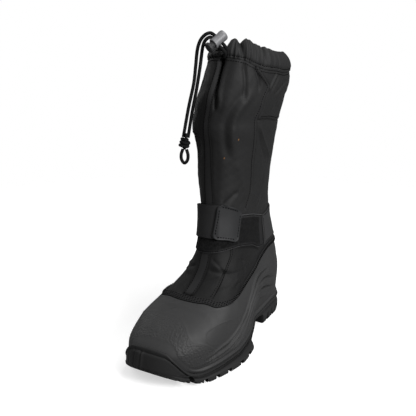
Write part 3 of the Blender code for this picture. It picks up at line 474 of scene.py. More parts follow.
def ground(y):
    """Height of the sole's underside."""
    toe = TOE_SPRING * np.clip((SPRING_Y - y) / (SPRING_Y - TOE_TIP_Y), 0, 1.1) ** 1.7
    arch = ARCH_RISE * ramp(y, SHANK_Y, ARCH_Y) * (1 - ramp(y, BREAST_Y - 1.5, BREAST_Y + 1.5))
    back = HEEL_BEVEL * np.clip((y - HEEL_BEVEL_Y) / 22, 0, 1) ** 2
    return toe + arch + back


def bumper(angle):
    """How far the rim rises over the welt."""
    return LIP + (BUMPER_TOP - LIP) * (1 - ramp(aside(angle), BUMPER_FULL, BUMPER_END))


def over_strip(angle):
    """Height over the shaft of what also crosses the front strip."""
    return OVER + (STRIP_THICKNESS + 2 * GAP) * (1 - ramp(aside(angle), *STRIP_SIDE))


def over_band(angle):
    """Height over the shaft of what also crosses the band and its loop pile."""
    pile = (PILE_THICKNESS + GAP) * ramp(angle, PILE_SPAN[0] - 12, PILE_SPAN[0] - 3)
    return over_strip(angle) + BAND_THICKNESS + 2 * GAP + pile


def edge_heights(table, angles):
    """Lower and upper edge of a band at the given angles."""
    return along(table, angles, 1), along(table, angles, 2)


def strip_angles(h, shares):
    """Angles across the front strip at a height, for shares from -1 to 1 of its half width."""
    return go_round(0.0, h, along(STRIP, h, 1) + along(STRIP, h, 2) * np.array(shares))


def shaft_height(angles, share):
    """Height of the shaft's rows, from over the binding to the collar's stitch line."""
    low, high = climb(angles, topline(angles), BINDING_WIDTH + 2.0), stitch_line(angles)
    return low + share * (high - low)


def tunnel(angles, share):
    """How far the collar's gathered tunnel stands out of the form, a share of the way up it."""
    out = PUFF * math.sin(math.pi * share**0.8) - along(LEAN, signed(angles)) * share**2.2
    for top, foot, depth, width in PLEATS:
        beside = signed(angles - (foot + share * (top - foot)))
        out = out - depth * np.exp(-np.abs(beside / width) ** 1.4) * min(1.0, 0.15 + 1.2 * share)
    return out


def relief(places, folds):
    """Height that the folds add at each of a grid's places."""
    flat = places.reshape(-1, 3)
    total = np.zeros(len(flat))
    for depth, width, points in folds:
        line = base(*surface_route(points, 3.0))
        low, high = line.min(0) - 3 * width, line.max(0) + 3 * width
        near = np.where(np.all((flat > low) & (flat < high), 1))[0]
        p = flat[near]
        best, share = np.full(len(p), 1e9), np.zeros(len(p))
        for i in range(len(line) - 1):
            d = line[i + 1] - line[i]
            t = np.clip((p - line[i]) @ d / (d @ d), 0, 1)
            gap = norm(p - line[i] - t[:, None] * d)
            closer = gap < best
            best = np.where(closer, gap, best)
            share = np.where(closer, (i + t) / (len(line) - 1), share)
        total[near] += depth * bell(best, width) * np.clip(np.minimum(share, 1 - share) * 5, 0, 1)
    return total.reshape(places.shape[:-1])


def ripple(places, size, seed):
    """Smooth irregular waves between about -1 and 1, of a size in millimetres."""
    rng = np.random.RandomState(seed)
    total = np.zeros(places.shape[:-1])
    for _ in range(9):
        way = rng.normal(size=3)
        way /= norm(way)
        total += np.sin(places @ way * math.tau / (size * rng.uniform(0.7, 1.5))
                        + rng.uniform(0, math.tau))
    return total / 5


# ---- mesh making --------------------------------------------------------------------------
def put(points):
    """Points of the form, in the frame's metres."""
    return (np.asarray(points, float) + FORM_PLACE) * MM


def add_object(name, data):
    item = bpy.data.objects.new(name, data)
    bpy.context.scene.collection.objects.link(item)
    return item


def build(name, verts, faces, material, stands_for=None, body="boot", uv=None, sharp=40,
          masks=None):
    """Piece on a body, from points in the form's millimetres; it may stand for a CAD node."""
    mesh = bpy.data.meshes.new(name)
    mesh.from_pydata([tuple(v) for v in put(verts)], [], [tuple(f) for f in faces])
    mesh.update()
    if uv is not None:
        layer = mesh.uv_layers.new(name="cloth")
        layer.data.foreach_set("uv", (np.asarray(uv, float) * MM).ravel())
    for mask, values in (masks or {}).items():
        made = mesh.attributes.new(mask, "FLOAT", "POINT")
        made.data.foreach_set("value", np.asarray(values, np.float32).ravel())
    mesh.shade_smooth()
    if sharp:
        mesh.set_sharp_from_angle(angle=math.radians(sharp))
    mesh.materials.append(material)
    item = add_object(name, mesh)
    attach(item, body)
    if stands_for:
        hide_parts(stands_for)
    return item


def grid_faces(rows, cols, first=0, wrap=False, close=False, flip=False):
    """Quads of a grid; its rows may wrap, and its last row may join its first."""
    r = np.arange(rows if close else rows - 1)[:, None]
    c = np.arange(cols if wrap else cols - 1)[None, :]
    after, above = (c + 1) % cols, (r + 1) % rows * cols
    quads = np.stack(np.broadcast_arrays(r * cols + c, r * cols + after, above + after, above + c),
                     -1).reshape(-1, 4) + first
    return quads[:, ::-1] if flip else quads


def wrap_uv(points, wrap):
    """UV of each quad's corners, in millimetres along and up a grid."""
    closed = np.concatenate([points, points[:, :1]], 1) if wrap else points
    u, v = lengths(closed, 1), lengths(closed, 0)
    r, c = np.ogrid[:closed.shape[0] - 1, :closed.shape[1] - 1]
    corners = [(r, c), (r, c + 1), (r + 1, c + 1), (r + 1, c)]
    return np.stack([np.stack([u[a], v[a]], -1) for a in corners], 2).reshape(-1, 2)


def wall(name, outer, inner, material, stands_for=None, masks=None):
    """Closed wall around the boot: an outer and an inner grid of points, joined at both rims."""
    loop = np.concatenate([outer, inner[::-1]])
    faces = grid_faces(*loop.shape[:2], wrap=True, close=True)
    blank = np.zeros(inner.shape[:2])
    masks = {mask: np.concatenate([m, blank]) for mask, m in (masks or {}).items()}
    return build(name, loop.reshape(-1, 3), faces, material, stands_for,
                 uv=wrap_uv(np.concatenate([loop, loop[:1]]), True), sharp=50, masks=masks)


def to_side(points):
    """Distance of each point of a grid from the grid's nearest side."""
    across, up = lengths(points, 1), lengths(points, 0)
    return np.minimum(np.minimum(across, across[:, -1:] - across), np.minimum(up, up[-1:] - up))


def pad(name, angles, heights, out, thickness, material, stands_for,
        edge=0.8, rim=0.0):
    """Flat piece lying on the boot, over grids of angles and heights, with rounded edges."""
    under = skin(angles, heights, out)
    rows, cols = under.shape[:2]
    near = to_side(under)
    q = np.clip(near / edge, 0, 1)
    rise = thickness * (0.3 + 0.7 * np.sqrt(1 - (1 - q) ** 2))
    over = skin(angles, heights, out + rise + rim * q)
    count = rows * cols
    border = np.concatenate([np.arange(cols), cols - 1 + cols * np.arange(1, rows),
                             count - 2 - np.arange(cols - 1), cols * np.arange(rows - 2, 0, -1)])
    ahead = np.roll(border, -1)
    side = np.stack([border, ahead, ahead + count, border + count], -1)
    faces = np.concatenate([grid_faces(rows, cols, flip=True), grid_faces(rows, cols, first=count),
                            side])
    flat = wrap_uv(under, False)
    uv = np.concatenate([flat.reshape(-1, 4, 2)[:, ::-1].reshape(-1, 2), flat,
                         np.zeros((len(side) * 4, 2))])
    # Edge mask: the front strip and strap paint shade along it, the band and loop pile a lighter
    # ragged colour.
    edge_mask = 1 - ramp(near, 0.7, 1.4)
    item = build(name, np.concatenate([under.reshape(-1, 3), over.reshape(-1, 3)]), faces,
                 material, stands_for, uv=uv, sharp=60, masks={"edge": [edge_mask] * 2})


def stitches(name, rows, pitch=3.1, length=2.2, width=0.75):
    """Short threads along rows of (angles, heights, out), joined into one mesh."""
    turn = np.linspace(0, math.tau, 6, endpoint=False)
    # share of the length, share of the width, height
    rings = [(-0.5, 0.35, -0.3), (-0.36, 1.0, 0.1), (0.36, 1.0, 0.1), (0.5, 0.35, -0.3)]
    shape = np.array([(share * length, size * width / 2 * math.cos(t),
                       size * width / 2 * math.sin(t) + rise)
                      for share, size, rise in rings for t in turn])
    faces = grid_faces(len(rings), 6, wrap=True).tolist()
    faces += [tuple(range(6))[::-1], tuple(range(18, 24))]
    verts, all_faces = [], []
    for angles, heights, out in rows:
        points = skin(angles, heights, out)
        ways = skin(angles, heights, np.asarray(out) + 1.0) - points
        walked = lengths(points, 0)

        def at(mark, values):
            return np.array([np.interp(mark, walked, column) for column in values.T])

        for mark in np.arange(pitch / 2, walked[-1] - pitch / 3, pitch):
            tangent = at(mark + 0.7, points) - at(mark - 0.7, points)
            tangent /= norm(tangent)
            side = np.cross(at(mark, ways), tangent)
            side /= norm(side)
            first = len(verts) * len(shape)
            turned = shape @ np.array([tangent, side, np.cross(tangent, side)])
            verts.append(at(mark, points) + turned)
            all_faces += [tuple(i + first for i in f) for f in faces]
    build(name, np.concatenate(verts), all_faces, THREAD, sharp=0)


# ---- materials ----------------------------------------------------------------------------
def feed(made, value, socket):
    """Links a socket to another one, or sets its value."""
    if isinstance(value, bpy.types.NodeSocket):
        made.node_tree.links.new(value, socket)
    else:
        socket.default_value = value


def node(made, kind, inputs=None, **settings):
    """New node's outputs; inputs, by name or place, are values or sockets to link from."""
    new = made.node_tree.nodes.new(kind)
    for key, value in settings.items():
        setattr(new, key, value)
    for key, value in (inputs or {}).items():
        feed(made, value, new.inputs[key])
    return new.outputs


def principled(made, name):
    """An input of the material's own shader."""
    return made.node_tree.nodes["Principled BSDF"].inputs[name]


def shader(name, colour, roughness, level):
    made = bpy.data.materials.new(name)
    made.use_nodes = True
    principled(made, "Base Color").default_value = (*colour, 1)
    principled(made, "Roughness").default_value = roughness
    principled(made, "Specular IOR Level").default_value = level
    return made


def arithmetic(made, operation, *values):
    return node(made, "ShaderNodeMath", dict(enumerate(values)), operation=operation)[0]


def place_of(made, size):
    """Coordinates for a texture, in steps of a size in millimetres."""
    own = node(made, "ShaderNodeTexCoord")["Object"]
    return node(made, "ShaderNodeMapping", {"Scale": (1000 / size,) * 3, "Vector": own})[0]


def noise(made, size, detail=3.0, roughness=0.5):
    inputs = {"Vector": place_of(made, size), "Scale": 1.0, "Detail": detail,
              "Roughness": roughness}
    return node(made, "ShaderNodeTexNoise", inputs)["Fac"]


def mixed(made, share, first, second):
    """Base colour that goes from the first to the second of two colours."""
    inputs = {0: share, 6: first, 7: second}
    feed(made, node(made, "ShaderNodeMix", inputs, data_type="RGBA")[2],
         principled(made, "Base Color"))


def tint(made, share, spread):
    """Lets the base colour vary by a spread of itself both ways, with a share from 0 to 1."""
    colour = principled(made, "Base Color").default_value[:3]
    mixed(made, share, *((*[c * (1 + way * spread) for c in colour], 1) for way in (-1, 1)))


def grained(made, wide, fine, spread):
    """Lets the base colour vary with broad and fine noise, of two sizes in millimetres."""
    both = arithmetic(made, "ADD", noise(made, wide, 4), noise(made, fine, 3, 0.7))
    tint(made, arithmetic(made, "MULTIPLY", both, 0.5), spread)


def bump(made, height, strength, distance):
    """Adds a bump of a depth in millimetres; several are chained."""
    normal = principled(made, "Normal")
    inputs = {"Strength": strength, "Distance": distance * MM, "Height": height}
    if normal.is_linked:
        inputs["Normal"] = normal.links[0].from_socket
    feed(made, node(made, "ShaderNodeBump", inputs)[0], normal)


def weave(made, pitch):
    """Height of a plain weave on the piece's own cloth coordinates."""
    cloth = node(made, "ShaderNodeUVMap", uv_map="cloth")[0]
    waves = []
    for axis, size in zip(node(made, "ShaderNodeSeparateXYZ", {0: cloth}), pitch):
        turn = arithmetic(made, "MULTIPLY", axis, math.tau * 1000 / size)
        waves.append(arithmetic(made, "SINE", turn, 0.0))
    return arithmetic(made, "MULTIPLY", *waves)


def pebbles(made, size):
    """Height of a fine pebbled grain."""
    inputs = {"Scale": 1.0, "Vector": place_of(made, size)}
    return node(made, "ShaderNodeTexVoronoi", inputs, feature="SMOOTH_F1")["Distance"]


def masked(made, mask, height=None):
    """The mesh's mask, or a height that counts only where it is 1."""
    share = node(made, "ShaderNodeAttribute", attribute_name=mask)["Fac"]
    return share if height is None else arithmetic(made, "MULTIPLY", share, height)


def mark(made, mask, colour, ragged=0.0):
    """Paints a colour where the mesh's mask is 1; a ragged one comes and goes over a length."""
    share = masked(made, mask, noise(made, ragged, 4, 0.7) if ragged else None)
    mixed(made, share, principled(made, "Base Color").links[0].from_socket, (*colour, 1))


def cloth_material(name, colour, roughness, pitch, depth, level=0.12, even=False):
    """Woven cloth of a thread pitch across and along; an even one isn't tinted yet."""
    made = shader(name, colour, roughness, level)
    if not even:
        grained(made, 38, 1.5, 0.264)
    bump(made, noise(made, 14, 3), 0.25, 0.6)
    bump(made, weave(made, pitch), 0.35, depth)
    return made


def rubber_material(name, colour, roughness, grain, level):
    """Rubber or plastic, with a fine grain unless that is 0."""
    made = shader(name, colour, roughness, level)
    grained(made, 30, 1.8, 0.22)
    inputs = {"To Min": roughness - 0.06, "To Max": roughness + 0.1, "Value": noise(made, 12, 4)}
    feed(made, node(made, "ShaderNodeMapRange", inputs)[0], principled(made, "Roughness"))
    if grain:
        bump(made, noise(made, 0.9, 2), 0.12 * grain, 0.25)
    return made


NYLON = cloth_material("nylon_cloth", (0.0102, 0.0102, 0.0104), 0.66, (0.9, 0.9), 0.08, 0.17)
# Painted shade: the cloth low on the vamp is darker, as if in the shaft's shadow.
mark(NYLON, "vamp", (0.005, 0.005, 0.0051))
# Painted shade: dark lines in the shaft's seam grooves and where one panel lies over the next.
mark(NYLON, "seam", (0.0022, 0.0022, 0.0022))
mark(NYLON, "lint", (0.3, 0.13, 0.04))
LINING = cloth_material("lining_felt", (0.016, 0.016, 0.017), 0.95, (2.2, 2.2), 0.2)
WEBBING = cloth_material("webbing_tape", (0.015, 0.015, 0.0154), 0.75, (1.6, 0.8), 0.18)
# Painted shade: dark lines along the edges of the front strip and the strap.
mark(WEBBING, "edge", (0.003, 0.003, 0.003))
BAND_WEBBING = cloth_material("band_tape", (0.0105, 0.0105, 0.011), 0.75, (1.6, 0.8), 0.18)
mark(BAND_WEBBING, "edge", (0.07, 0.07, 0.072), ragged=4.0)
GROSGRAIN = cloth_material("grosgrain_tape", (0.0135, 0.0135, 0.0138), 0.72, (0.9, 4.0), 0.2)
# Painted shade: a dark line along the binding's lower edge, where it meets the shell.
mark(GROSGRAIN, "seam", (0.0025, 0.0025, 0.0025))
PILE = cloth_material("loop_pile_fuzz", (0.0056, 0.0056, 0.0058), 0.95, (0.7, 0.7), 0.3,
                      even=True)
speckle = arithmetic(PILE, "SUBTRACT", noise(PILE, 2.6, 5, 0.8), 0.36)
tint(PILE, arithmetic(PILE, "MULTIPLY", speckle, 3.4), 0.85)
bump(PILE, noise(PILE, 1.3, 6, 0.8), 0.9, 1.2)
mark(PILE, "edge", (0.03, 0.03, 0.0305), ragged=3.0)
CORD_CLOTH = shader("cord_braid", (0.009, 0.009, 0.0093), 0.9, 0.04)
tint(CORD_CLOTH, noise(CORD_CLOTH, 5, 4), 0.2)
bump(CORD_CLOTH, weave(CORD_CLOTH, (2.2, 1.6)), 0.12, 0.05)
THREAD = shader("thread", (0.0012, 0.0012, 0.0012), 0.95, 0.0)
tint(THREAD, noise(THREAD, 6), 0.3)
RUBBER = rubber_material("shell_rubber", (0.0165, 0.0165, 0.0168), 0.62, 2.2, 0.35)
bump(RUBBER, masked(RUBBER, "stipple", pebbles(RUBBER, 2.2)), 0.95, 0.75)
# Painted shade, partly dirt: the shell's deep grooves are darker.
mark(RUBBER, "groove", (0.004, 0.004, 0.004))
mark(RUBBER, "scuff", (0.003, 0.003, 0.003))
SOLE_RUBBER = rubber_material("sole_rubber", (0.0102, 0.0102, 0.0104), 0.7, 1.6, 0.25)
TAB_RUBBER = rubber_material("tab_rubber", (0.0095, 0.0098, 0.0106), 0.58, 1.0, 0.25)
STAY_CLOTH = cloth_material("heel_stay_cloth", (0.023, 0.023, 0.0237), 0.62, (0.8, 0.8), 0.06)
SATIN = rubber_material("lock_barrel_plastic", (0.115, 0.115, 0.12), 0.42, 0, 0.4)
GLOSS = rubber_material("lock_button_plastic", (0.02, 0.02, 0.021), 0.6, 0, 0.2)
FELT = cloth_material("insole_felt", (0.03, 0.03, 0.034), 0.95, (1.8, 1.8), 0.2)


# ---- drawcord and its lock ----------------------------------------------------------------
def tube_mesh(line, diameter, sides=12):
    """Points, faces and cloth coordinates of a round cord along a line."""
    way = np.gradient(line, axis=0)
    way /= norm(way, keep=True)
    side = np.cross(way[0], (0.0, 0.0, 1.0))
    if norm(side) < 0.1:
        side = np.cross(way[0], (0.0, 1.0, 0.0))
    turn = np.linspace(0, math.tau, sides, endpoint=False)[:, None]
    rings = []
    for here, ahead in zip(line, way):
        side = side - ahead * (side @ ahead)
        side /= norm(side)
        rings.append(here + diameter / 2 * (np.cos(turn) * side
                                            + np.sin(turn) * np.cross(ahead, side)))
    rings = np.array(rings)
    faces = grid_faces(len(rings), sides, wrap=True).tolist()
    count = len(rings) * sides
    faces += [tuple(range(sides))[::-1], tuple(range(count - sides, count))]
    uv = np.concatenate([wrap_uv(rings, True), np.zeros((2 * sides, 2))])
    return rings.reshape(-1, 3), faces, uv


def cord(name, stands_for, *lines):
    """Round cords along (line, diameter) pairs, joined into one mesh."""
    verts, faces, uv, first = [], [], [], 0
    for line, diameter in lines:
        points, sides, flat = tube_mesh(line, diameter)
        verts.append(points)
        faces += [tuple(i + first for i in f) for f in sides]
        uv.append(flat)
        first += len(points)
    return build(name, np.concatenate(verts), faces, CORD_CLOTH, stands_for,
                 uv=np.concatenate(uv), sharp=0)


def knot():
    """Three slanting wraps of the cord, and its short frayed end."""
    axis = Vector((0.30, 0.12, 0.94)).normalized()
    side = axis.cross(Vector((0.0, -1.0, 0.0))).normalized()
    ahead = axis.cross(side)
    wraps, count, radius, flatness, height = 2.9, 58, 5.2, 0.72, 12.0
    points = []
    for i in range(count + 1):
        share = i / count
        turn = math.tau * wraps * share + 0.6
        reach = radius * min(1.0, 0.35 + 5 * min(share, 1 - share))
        points.append(tuple(Vector(KNOT_PLACE) + height * (share - 0.5) * axis + reach * (
            math.cos(turn) * side + flatness * math.sin(turn) * ahead)))
    return cord("cord_knot", "drawcord_knot", (smooth_route(points, 1.2), CORD_DIAMETER),
                (smooth_route(KNOT_TAIL, 1.2), 0.8 * CORD_DIAMETER))


def lathe(name, profile, material, stands_for, body, steps=48):
    """Part of the lock, turned about the lock's own Z, from its closed end to the button."""
    out = -PRESS
    cross = (CROSS - out * CROSS.dot(out)).normalized()
    matrix = Matrix.Translation(LOCK_PLACE - out * CORDS_AT) @ \
        Matrix((cross.cross(out), cross, out)).transposed().to_4x4()
    verts = [matrix @ Vector((r * math.cos(t), r * math.sin(t), z)) for r, z in profile
             for t in np.linspace(0, math.tau, steps, endpoint=False)]
    return build(name, np.array(verts), grid_faces(len(profile), steps, wrap=True), material,
                 stands_for, body=body, sharp=35)


LINES = {"outer": smooth_route(CORD_OUTER, 1.5), "inner": smooth_route(CORD_INNER, 1.5),
         "loop": smooth_route(CORD_LOOP, 1.5)}
cords = {name: cord("cord_" + name, "drawcord_" + name, (line, CORD_DIAMETER))
         for name, line in LINES.items()}
carried = [knot(), lathe("lock_body", BARREL, SATIN, "lock_barrel", "boot"),
           lathe("lock_button", PLUNGER, GLOSS, "lock_plunger", "lock_button")]


# ---- sole ---------------------------------------------------------------------------------
def bumper_relief(angles, below):
    """Bead, groove and sunk panel of the toe bumper, at a distance below its top edge."""
    turn = signed(angles)
    full = 1 - ramp(np.abs(turn), BUMPER_END - 8, BUMPER_END)
    out = 0.9 * bell(below - 1.6, 1.2) - full * 1.2 * bell(below - 4.4, 0.9)
    out = out - full * 1.1 * ramp(turn, -5.5, -4.5) * ramp(below, 3.8, 4.8)
    out = out + full * 1.1 * bell(turn + 2.8, 0.7) * ramp(below, 3, 5)
    for crease in BUMPER_CREASES:
        out = out - full * 0.9 * bell(turn - crease, 0.8) * ramp(below, 2, 4)
    return out


# Side of the sole: share of the way from the ground to the welt, distance out, what the lugs and
# the groove under the welt add, share of the flare.
SOLE_SIDE = [
    (0.0, 0.4, 1.4, 0, 0.86), (0.05, 1.5, 1.9, 0, 0.95), (0.14, 2.3, 2.1, 0, 1.0),
    (0.24, 2.6, 2.1, 0, 0.97), (0.34, 2.8, 2.0, 0, 0.92), (0.55, 2.9, 1.8, 0, 0.74),
    (0.62, 3.0, 1.4, -0.4, 0.5), (0.67, 3.0, 0.7, -1.0, 0.2), (0.71, 3.1, 0.0, -1.8, 0),
    (0.78, 3.1, 0.0, -1.9, 0), (0.83, 3.2, 0.0, -0.9, 0), (0.88, SOLE_OUT, 0.0, 0, 0),
    (0.95, SOLE_OUT, 0.0, 0.2, 0), (1.0, SOLE_OUT, 0.0, 0, 0)]


def outsole():
    angles = even_angles(OUTLINE_H, 620)
    outline = base(angles, OUTLINE_H)
    y = outline[:, 1]
    welt = sole_top(y)
    turn = aside(angles)
    lugs = 1 - ramp(y, SHANK_Y - 14, SHANK_Y + 2) + ramp(y, BREAST_Y - 8, BREAST_Y)
    lugs = lugs * ramp(turn, 18, 34)
    groove = ramp(turn, 20, 36)
    rise = bumper(angles)
    flare = LUG_FLARE * ramp(signed(angles), 46, 74) * (1 - ramp(y, SHANK_Y - 14, SHANK_Y + 2))
    walked = lengths(outline, 0)
    notch = ramp(np.cos(walked / TOE_SCALLOP * math.tau), 0.45, 0.8) * (1 - ramp(turn, 44, 52))
    tooth = ramp(turn, 120, 126) * ramp(np.cos(walked / HEEL_TOOTH * math.tau), 0.35, 0.7)
    rings = []
    for share, out, more, under, spread in SOLE_SIDE:
        panel = bumper_relief(angles, rise + (1 - share) * (welt - ground(y)))
        out = out + more * lugs + under * groove + spread * flare + panel * (share > 0.3) \
            - TOE_SCALLOP_DEPTH * notch * (1 - ramp(share, 0.2, 0.3)) \
            - HEEL_TOOTH_DEPTH * tooth * (1 - ramp(share, 0.5, 0.58))
        ring = skin(angles, OUTLINE_H, out)
        low = ground(ring[:, 1])
        ring[:, 2] = low + share * (welt - low) + 2.0 * notch * (share == 0.0)
        rings.append(ring)
    rows = []
    for share in np.linspace(0.04, 0.96, 26):
        panel = bumper_relief(angles, (1 - share) * rise)
        rows.append((welt + share * rise, SOLE_OUT - 0.5 * share + panel))
    rows += [(welt + rise - 0.2, SOLE_OUT - 0.5), (welt + rise, SOLE_OUT - 1.1),
             (welt + rise, RIM_GAP + 0.3)]
    rows += [(welt + share * rise, RIM_GAP) for share in (0.8, 0.5, 0.2, 0.0)]
    rings = np.array(rings + [skin(angles, h, out) for h, out in rows])
    rows, cols = rings.shape[:2]
    faces = grid_faces(rows, cols, wrap=True).tolist()
    for first, flip in ((0, False), ((rows - 1) * cols, True)):
        for c in range(cols // 2):
            strip = list(dict.fromkeys([c, c + 1, (cols - c - 1) % cols, (cols - c) % cols]))
            strip = [first + i for i in strip]
            faces.append(strip[::-1] if flip else strip)
    item = build("outsole_rubber", rings.reshape(-1, 3), faces, SOLE_RUBBER,
                 "outsole", sharp=0)
    cutter = tread_cutter()
    cut = item.modifiers.new("tread", "BOOLEAN")
    cut.object = cutter
    cut.solver = "EXACT"
    bpy.context.view_layer.update()
    item.data = bpy.data.meshes.new_from_object(
        item.evaluated_get(bpy.context.evaluated_depsgraph_get()))
    item.modifiers.clear()
    bpy.data.objects.remove(cutter, do_unlink=True)
    item.data.set_sharp_from_angle(angle=math.radians(35))


def tread_cutter():
    """Slanting bars on both sides of the rib, which cut the tread's grooves."""
    verts, faces = [], []
    cube = np.array([(x, y, z) for x in (-.5, .5) for y in (-.5, .5) for z in (-.5, .5)])
    sides = [(0, 1, 3, 2), (4, 6, 7, 5), (0, 4, 5, 1), (2, 3, 7, 6), (0, 2, 6, 4), (1, 5, 7, 3)]
    length = 90.0
    x, y, z = (cube * (length, TREAD_WIDTH, 2 * TREAD_DEPTH)).T
    centre_x = TREAD_RIB + length / 2 * math.cos(math.radians(TREAD_SLANT))
    for groove in TREAD_GROOVES:
        for way in (1, -1):
            slant = math.radians(way * TREAD_SLANT)
            turned = np.stack([x * math.cos(slant) - y * math.sin(slant),
                               x * math.sin(slant) + y * math.cos(slant), z], 1)
            faces += [tuple(i + len(verts) for i in f) for f in sides]
            verts += list(turned + (way * centre_x, groove, float(ground(groove))))
    mesh = bpy.data.meshes.new("tread_cutter")
    mesh.from_pydata([tuple(v) for v in put(verts)], [], faces)
    return add_object("tread_cutter", mesh)


# ---- shell --------------------------------------------------------------------------------
def shell():
    angles = even_angles(45.0, 820)
    top = topline(angles)
    foot = sole_top(base(angles, OUTLINE_H)[:, 1])
    rim = foot + bumper(angles)
    flange = FLANGE_OUT * ramp(aside(angles), BUMPER_END - 8, BUMPER_END + 6)
    # height, distance out
    rows = [(foot + GAP, 0), (foot + 0.5 * (rim - foot), 0), (rim, 0)]
    rows += [(rim + rise, share * flange) for rise, share in (
        (0.3, 0.1), (0.5, 0.9), (1.2, 1.0), (2.6, 1.0), (3.6, 0.95), (4.3, 0.7), (4.9, 0.1),
        (5.5, -0.12), (6.4, 0.0))]
    start, lip = rim + 6.4, climb(angles, top, -3.8)
    rows += [(start + share * (lip - start), 0) for share in np.linspace(0, 1, 78)[1:]]
    rows += [(climb(angles, top, -back), out) for back, out in (
        (3.2, 0.05), (2.7, 0.2), (2.2, 0.35), (1.0, 0.4), (0.3, 0.2), (0.0, -0.3))]
    heights = np.array([h for h, _ in rows])
    out = np.array([o + 0 * flange for _, o in rows])
    turn = np.broadcast_to(angles, heights.shape)
    places = base(turn, heights)
    over = heights - along(STIPPLE_EDGE, signed(turn))
    free = ramp(heights, start, start + 3)
    grooves = relief(places, SHELL_GROOVES)
    out = out + free * (relief(places, SHELL_FOLDS) - grooves + 0.5 * bell(over, 0.9))
    part_line = bell(signed(turn) + 2.5, 0.35)
    out = out + 0.3 * free * part_line * (1 - ramp(over, -4, 0))
    inner_rows = [foot + GAP, rim] + [rim + s * (top - rim) for s in (0.25, 0.5, 0.75, 1.0)]
    inner = np.array([skin(angles, h, -SHELL_WALL) for h in inner_rows])
    # The groove mask paints shade, partly dirt, into the shell's deep grooves.
    masks = {"stipple": (1 - ramp(over, -1.5, -0.5)) * free,
             "groove": np.clip(0.8 * grooves - 0.35, 0, 1) * free,
             "scuff": np.clip(relief(places, SCUFFS), 0, 1)}
    wall("shell_moulded", skin(turn, heights, out), inner, RUBBER, "shell", masks)


def on_binding(angles, share, out):
    """Place on the binding: angle, height at a share of its width, distance out."""
    width = BINDING_WIDTH - 3.6 * ramp(aside(angles), 62, 104)
    return angles, climb(angles, topline(angles), share * width), 1.5 * GAP + out


def binding():
    angles = even_angles(90.0, 520)
    # columns: share of the width, distance out
    steps = [(0.01, 0.3), (0.035, 0.85), (0.07, 1.1), (0.16, 1.2), (0.22, 1.05), (0.28, 1.2),
             (0.44, 1.25), (0.5, 1.1), (0.56, 1.25), (0.72, 1.2), (0.78, 1.05), (0.84, 1.2),
             (0.93, 1.0), (0.98, 0.6), (1.0, 0.2)]
    outer = np.array([skin(*on_binding(angles, share, out)) for share, out in steps])
    inner = np.array([skin(*on_binding(angles, share, 0)) for share in (0.01, 0.5, 1.0)])
    # The first row is marked for painted shade along the binding's lower edge.
    border = np.zeros(outer.shape[:2])
    border[0] = 1
    item = wall("binding_tape", outer, inner, GROSGRAIN, "binding", {"seam": border})
    fine = np.linspace(-180, 180, 721)
    rows = [on_binding(fine, share, 1.15) for share in (0.22, 0.5, 0.78)]
    stitches("binding_stitches", rows, pitch=3.6, length=2.3, width=1.1)


# ---- shaft and collar ---------------------------------------------------------------------
def front_gap(angles, heights):
    """The front fold's sharp gap: the outer side's cloth rolls over it."""
    beside = signed(angles) - along(FOLD_LINE, heights)
    deep = 4.2 * ramp(heights, 316, 328) - 1.6 * ramp(heights, 350, 376)
    roll = ramp(heights, 316, 340)
    lip = 3.0 * roll * bell(beside - 4.0, 2.6)
    return lip - deep * bell(beside + 0.6, 1.7) + 1.0 * roll * bell(beside + 5.5, 2.8)


def seams(angles, heights):
    """Where the shaft's two long seams are: distances aside and above, and where they run."""
    turn = np.asarray(angles, float) % 360
    return (signed(angles) - along(SIDE_SEAM, heights), ramp(heights, 176, 188),
            heights - along(BACK_SEAM, turn), ramp(turn, 61, 64) * (1 - ramp(turn, 346, 352)))


def panels(angles, heights):
    """Steps and grooves where one panel of the shaft is sewn over the next."""
    beside, upper, over, back = seams(angles, heights)
    return upper * (1.1 * ramp(signed(angles), 8, 20) * (1 - ramp(beside, -0.9, 0.5))
                    + 0.8 * bell(beside + 2.4, 1.8) - 0.9 * bell(beside - 1.2, 1.0)) \
        + back * (0.9 * ramp(over, -0.6, 0.8) * (1 - ramp(over, 2, 30))
                  - 0.9 * bell(over + 0.8, 0.9))


# Heights over the vamp, and the angles of the front strip's two edges there.
STRIP_H = np.linspace(82, 168, 30)
STRIP_EDGES = np.array([signed(strip_angles(h, (-1.0, 1.0))) for h in STRIP_H])


def shaft_out(turn, heights):
    """How far the shaft's cloth stands out of the form."""
    left, right = (np.interp(heights, STRIP_H, STRIP_EDGES[:, side]) for side in (0, 1))
    beyond = np.maximum(signed(turn) - right, left - signed(turn))
    flat = (1 - ramp(beyond, -1, 5)) * (1 - ramp(heights, 150, 166))
    places = base(turn, heights)
    free = np.clip((heights - climb(turn, topline(turn), 9.5)) / 5, 0, 1)
    sewn = 1 - 0.8 * ramp(heights, stitch_line(turn) - 4, stitch_line(turn))
    shape = relief(places, SHAFT_FOLDS) + 0.4 * ripple(places, 26, 3) \
        + 0.2 * ripple(places, 10, 8) + relief(places, VAMP_SEAMS)
    return free * (sewn * (1 - 0.9 * flat) * shape + front_gap(turn, heights)
                   + panels(turn, heights))


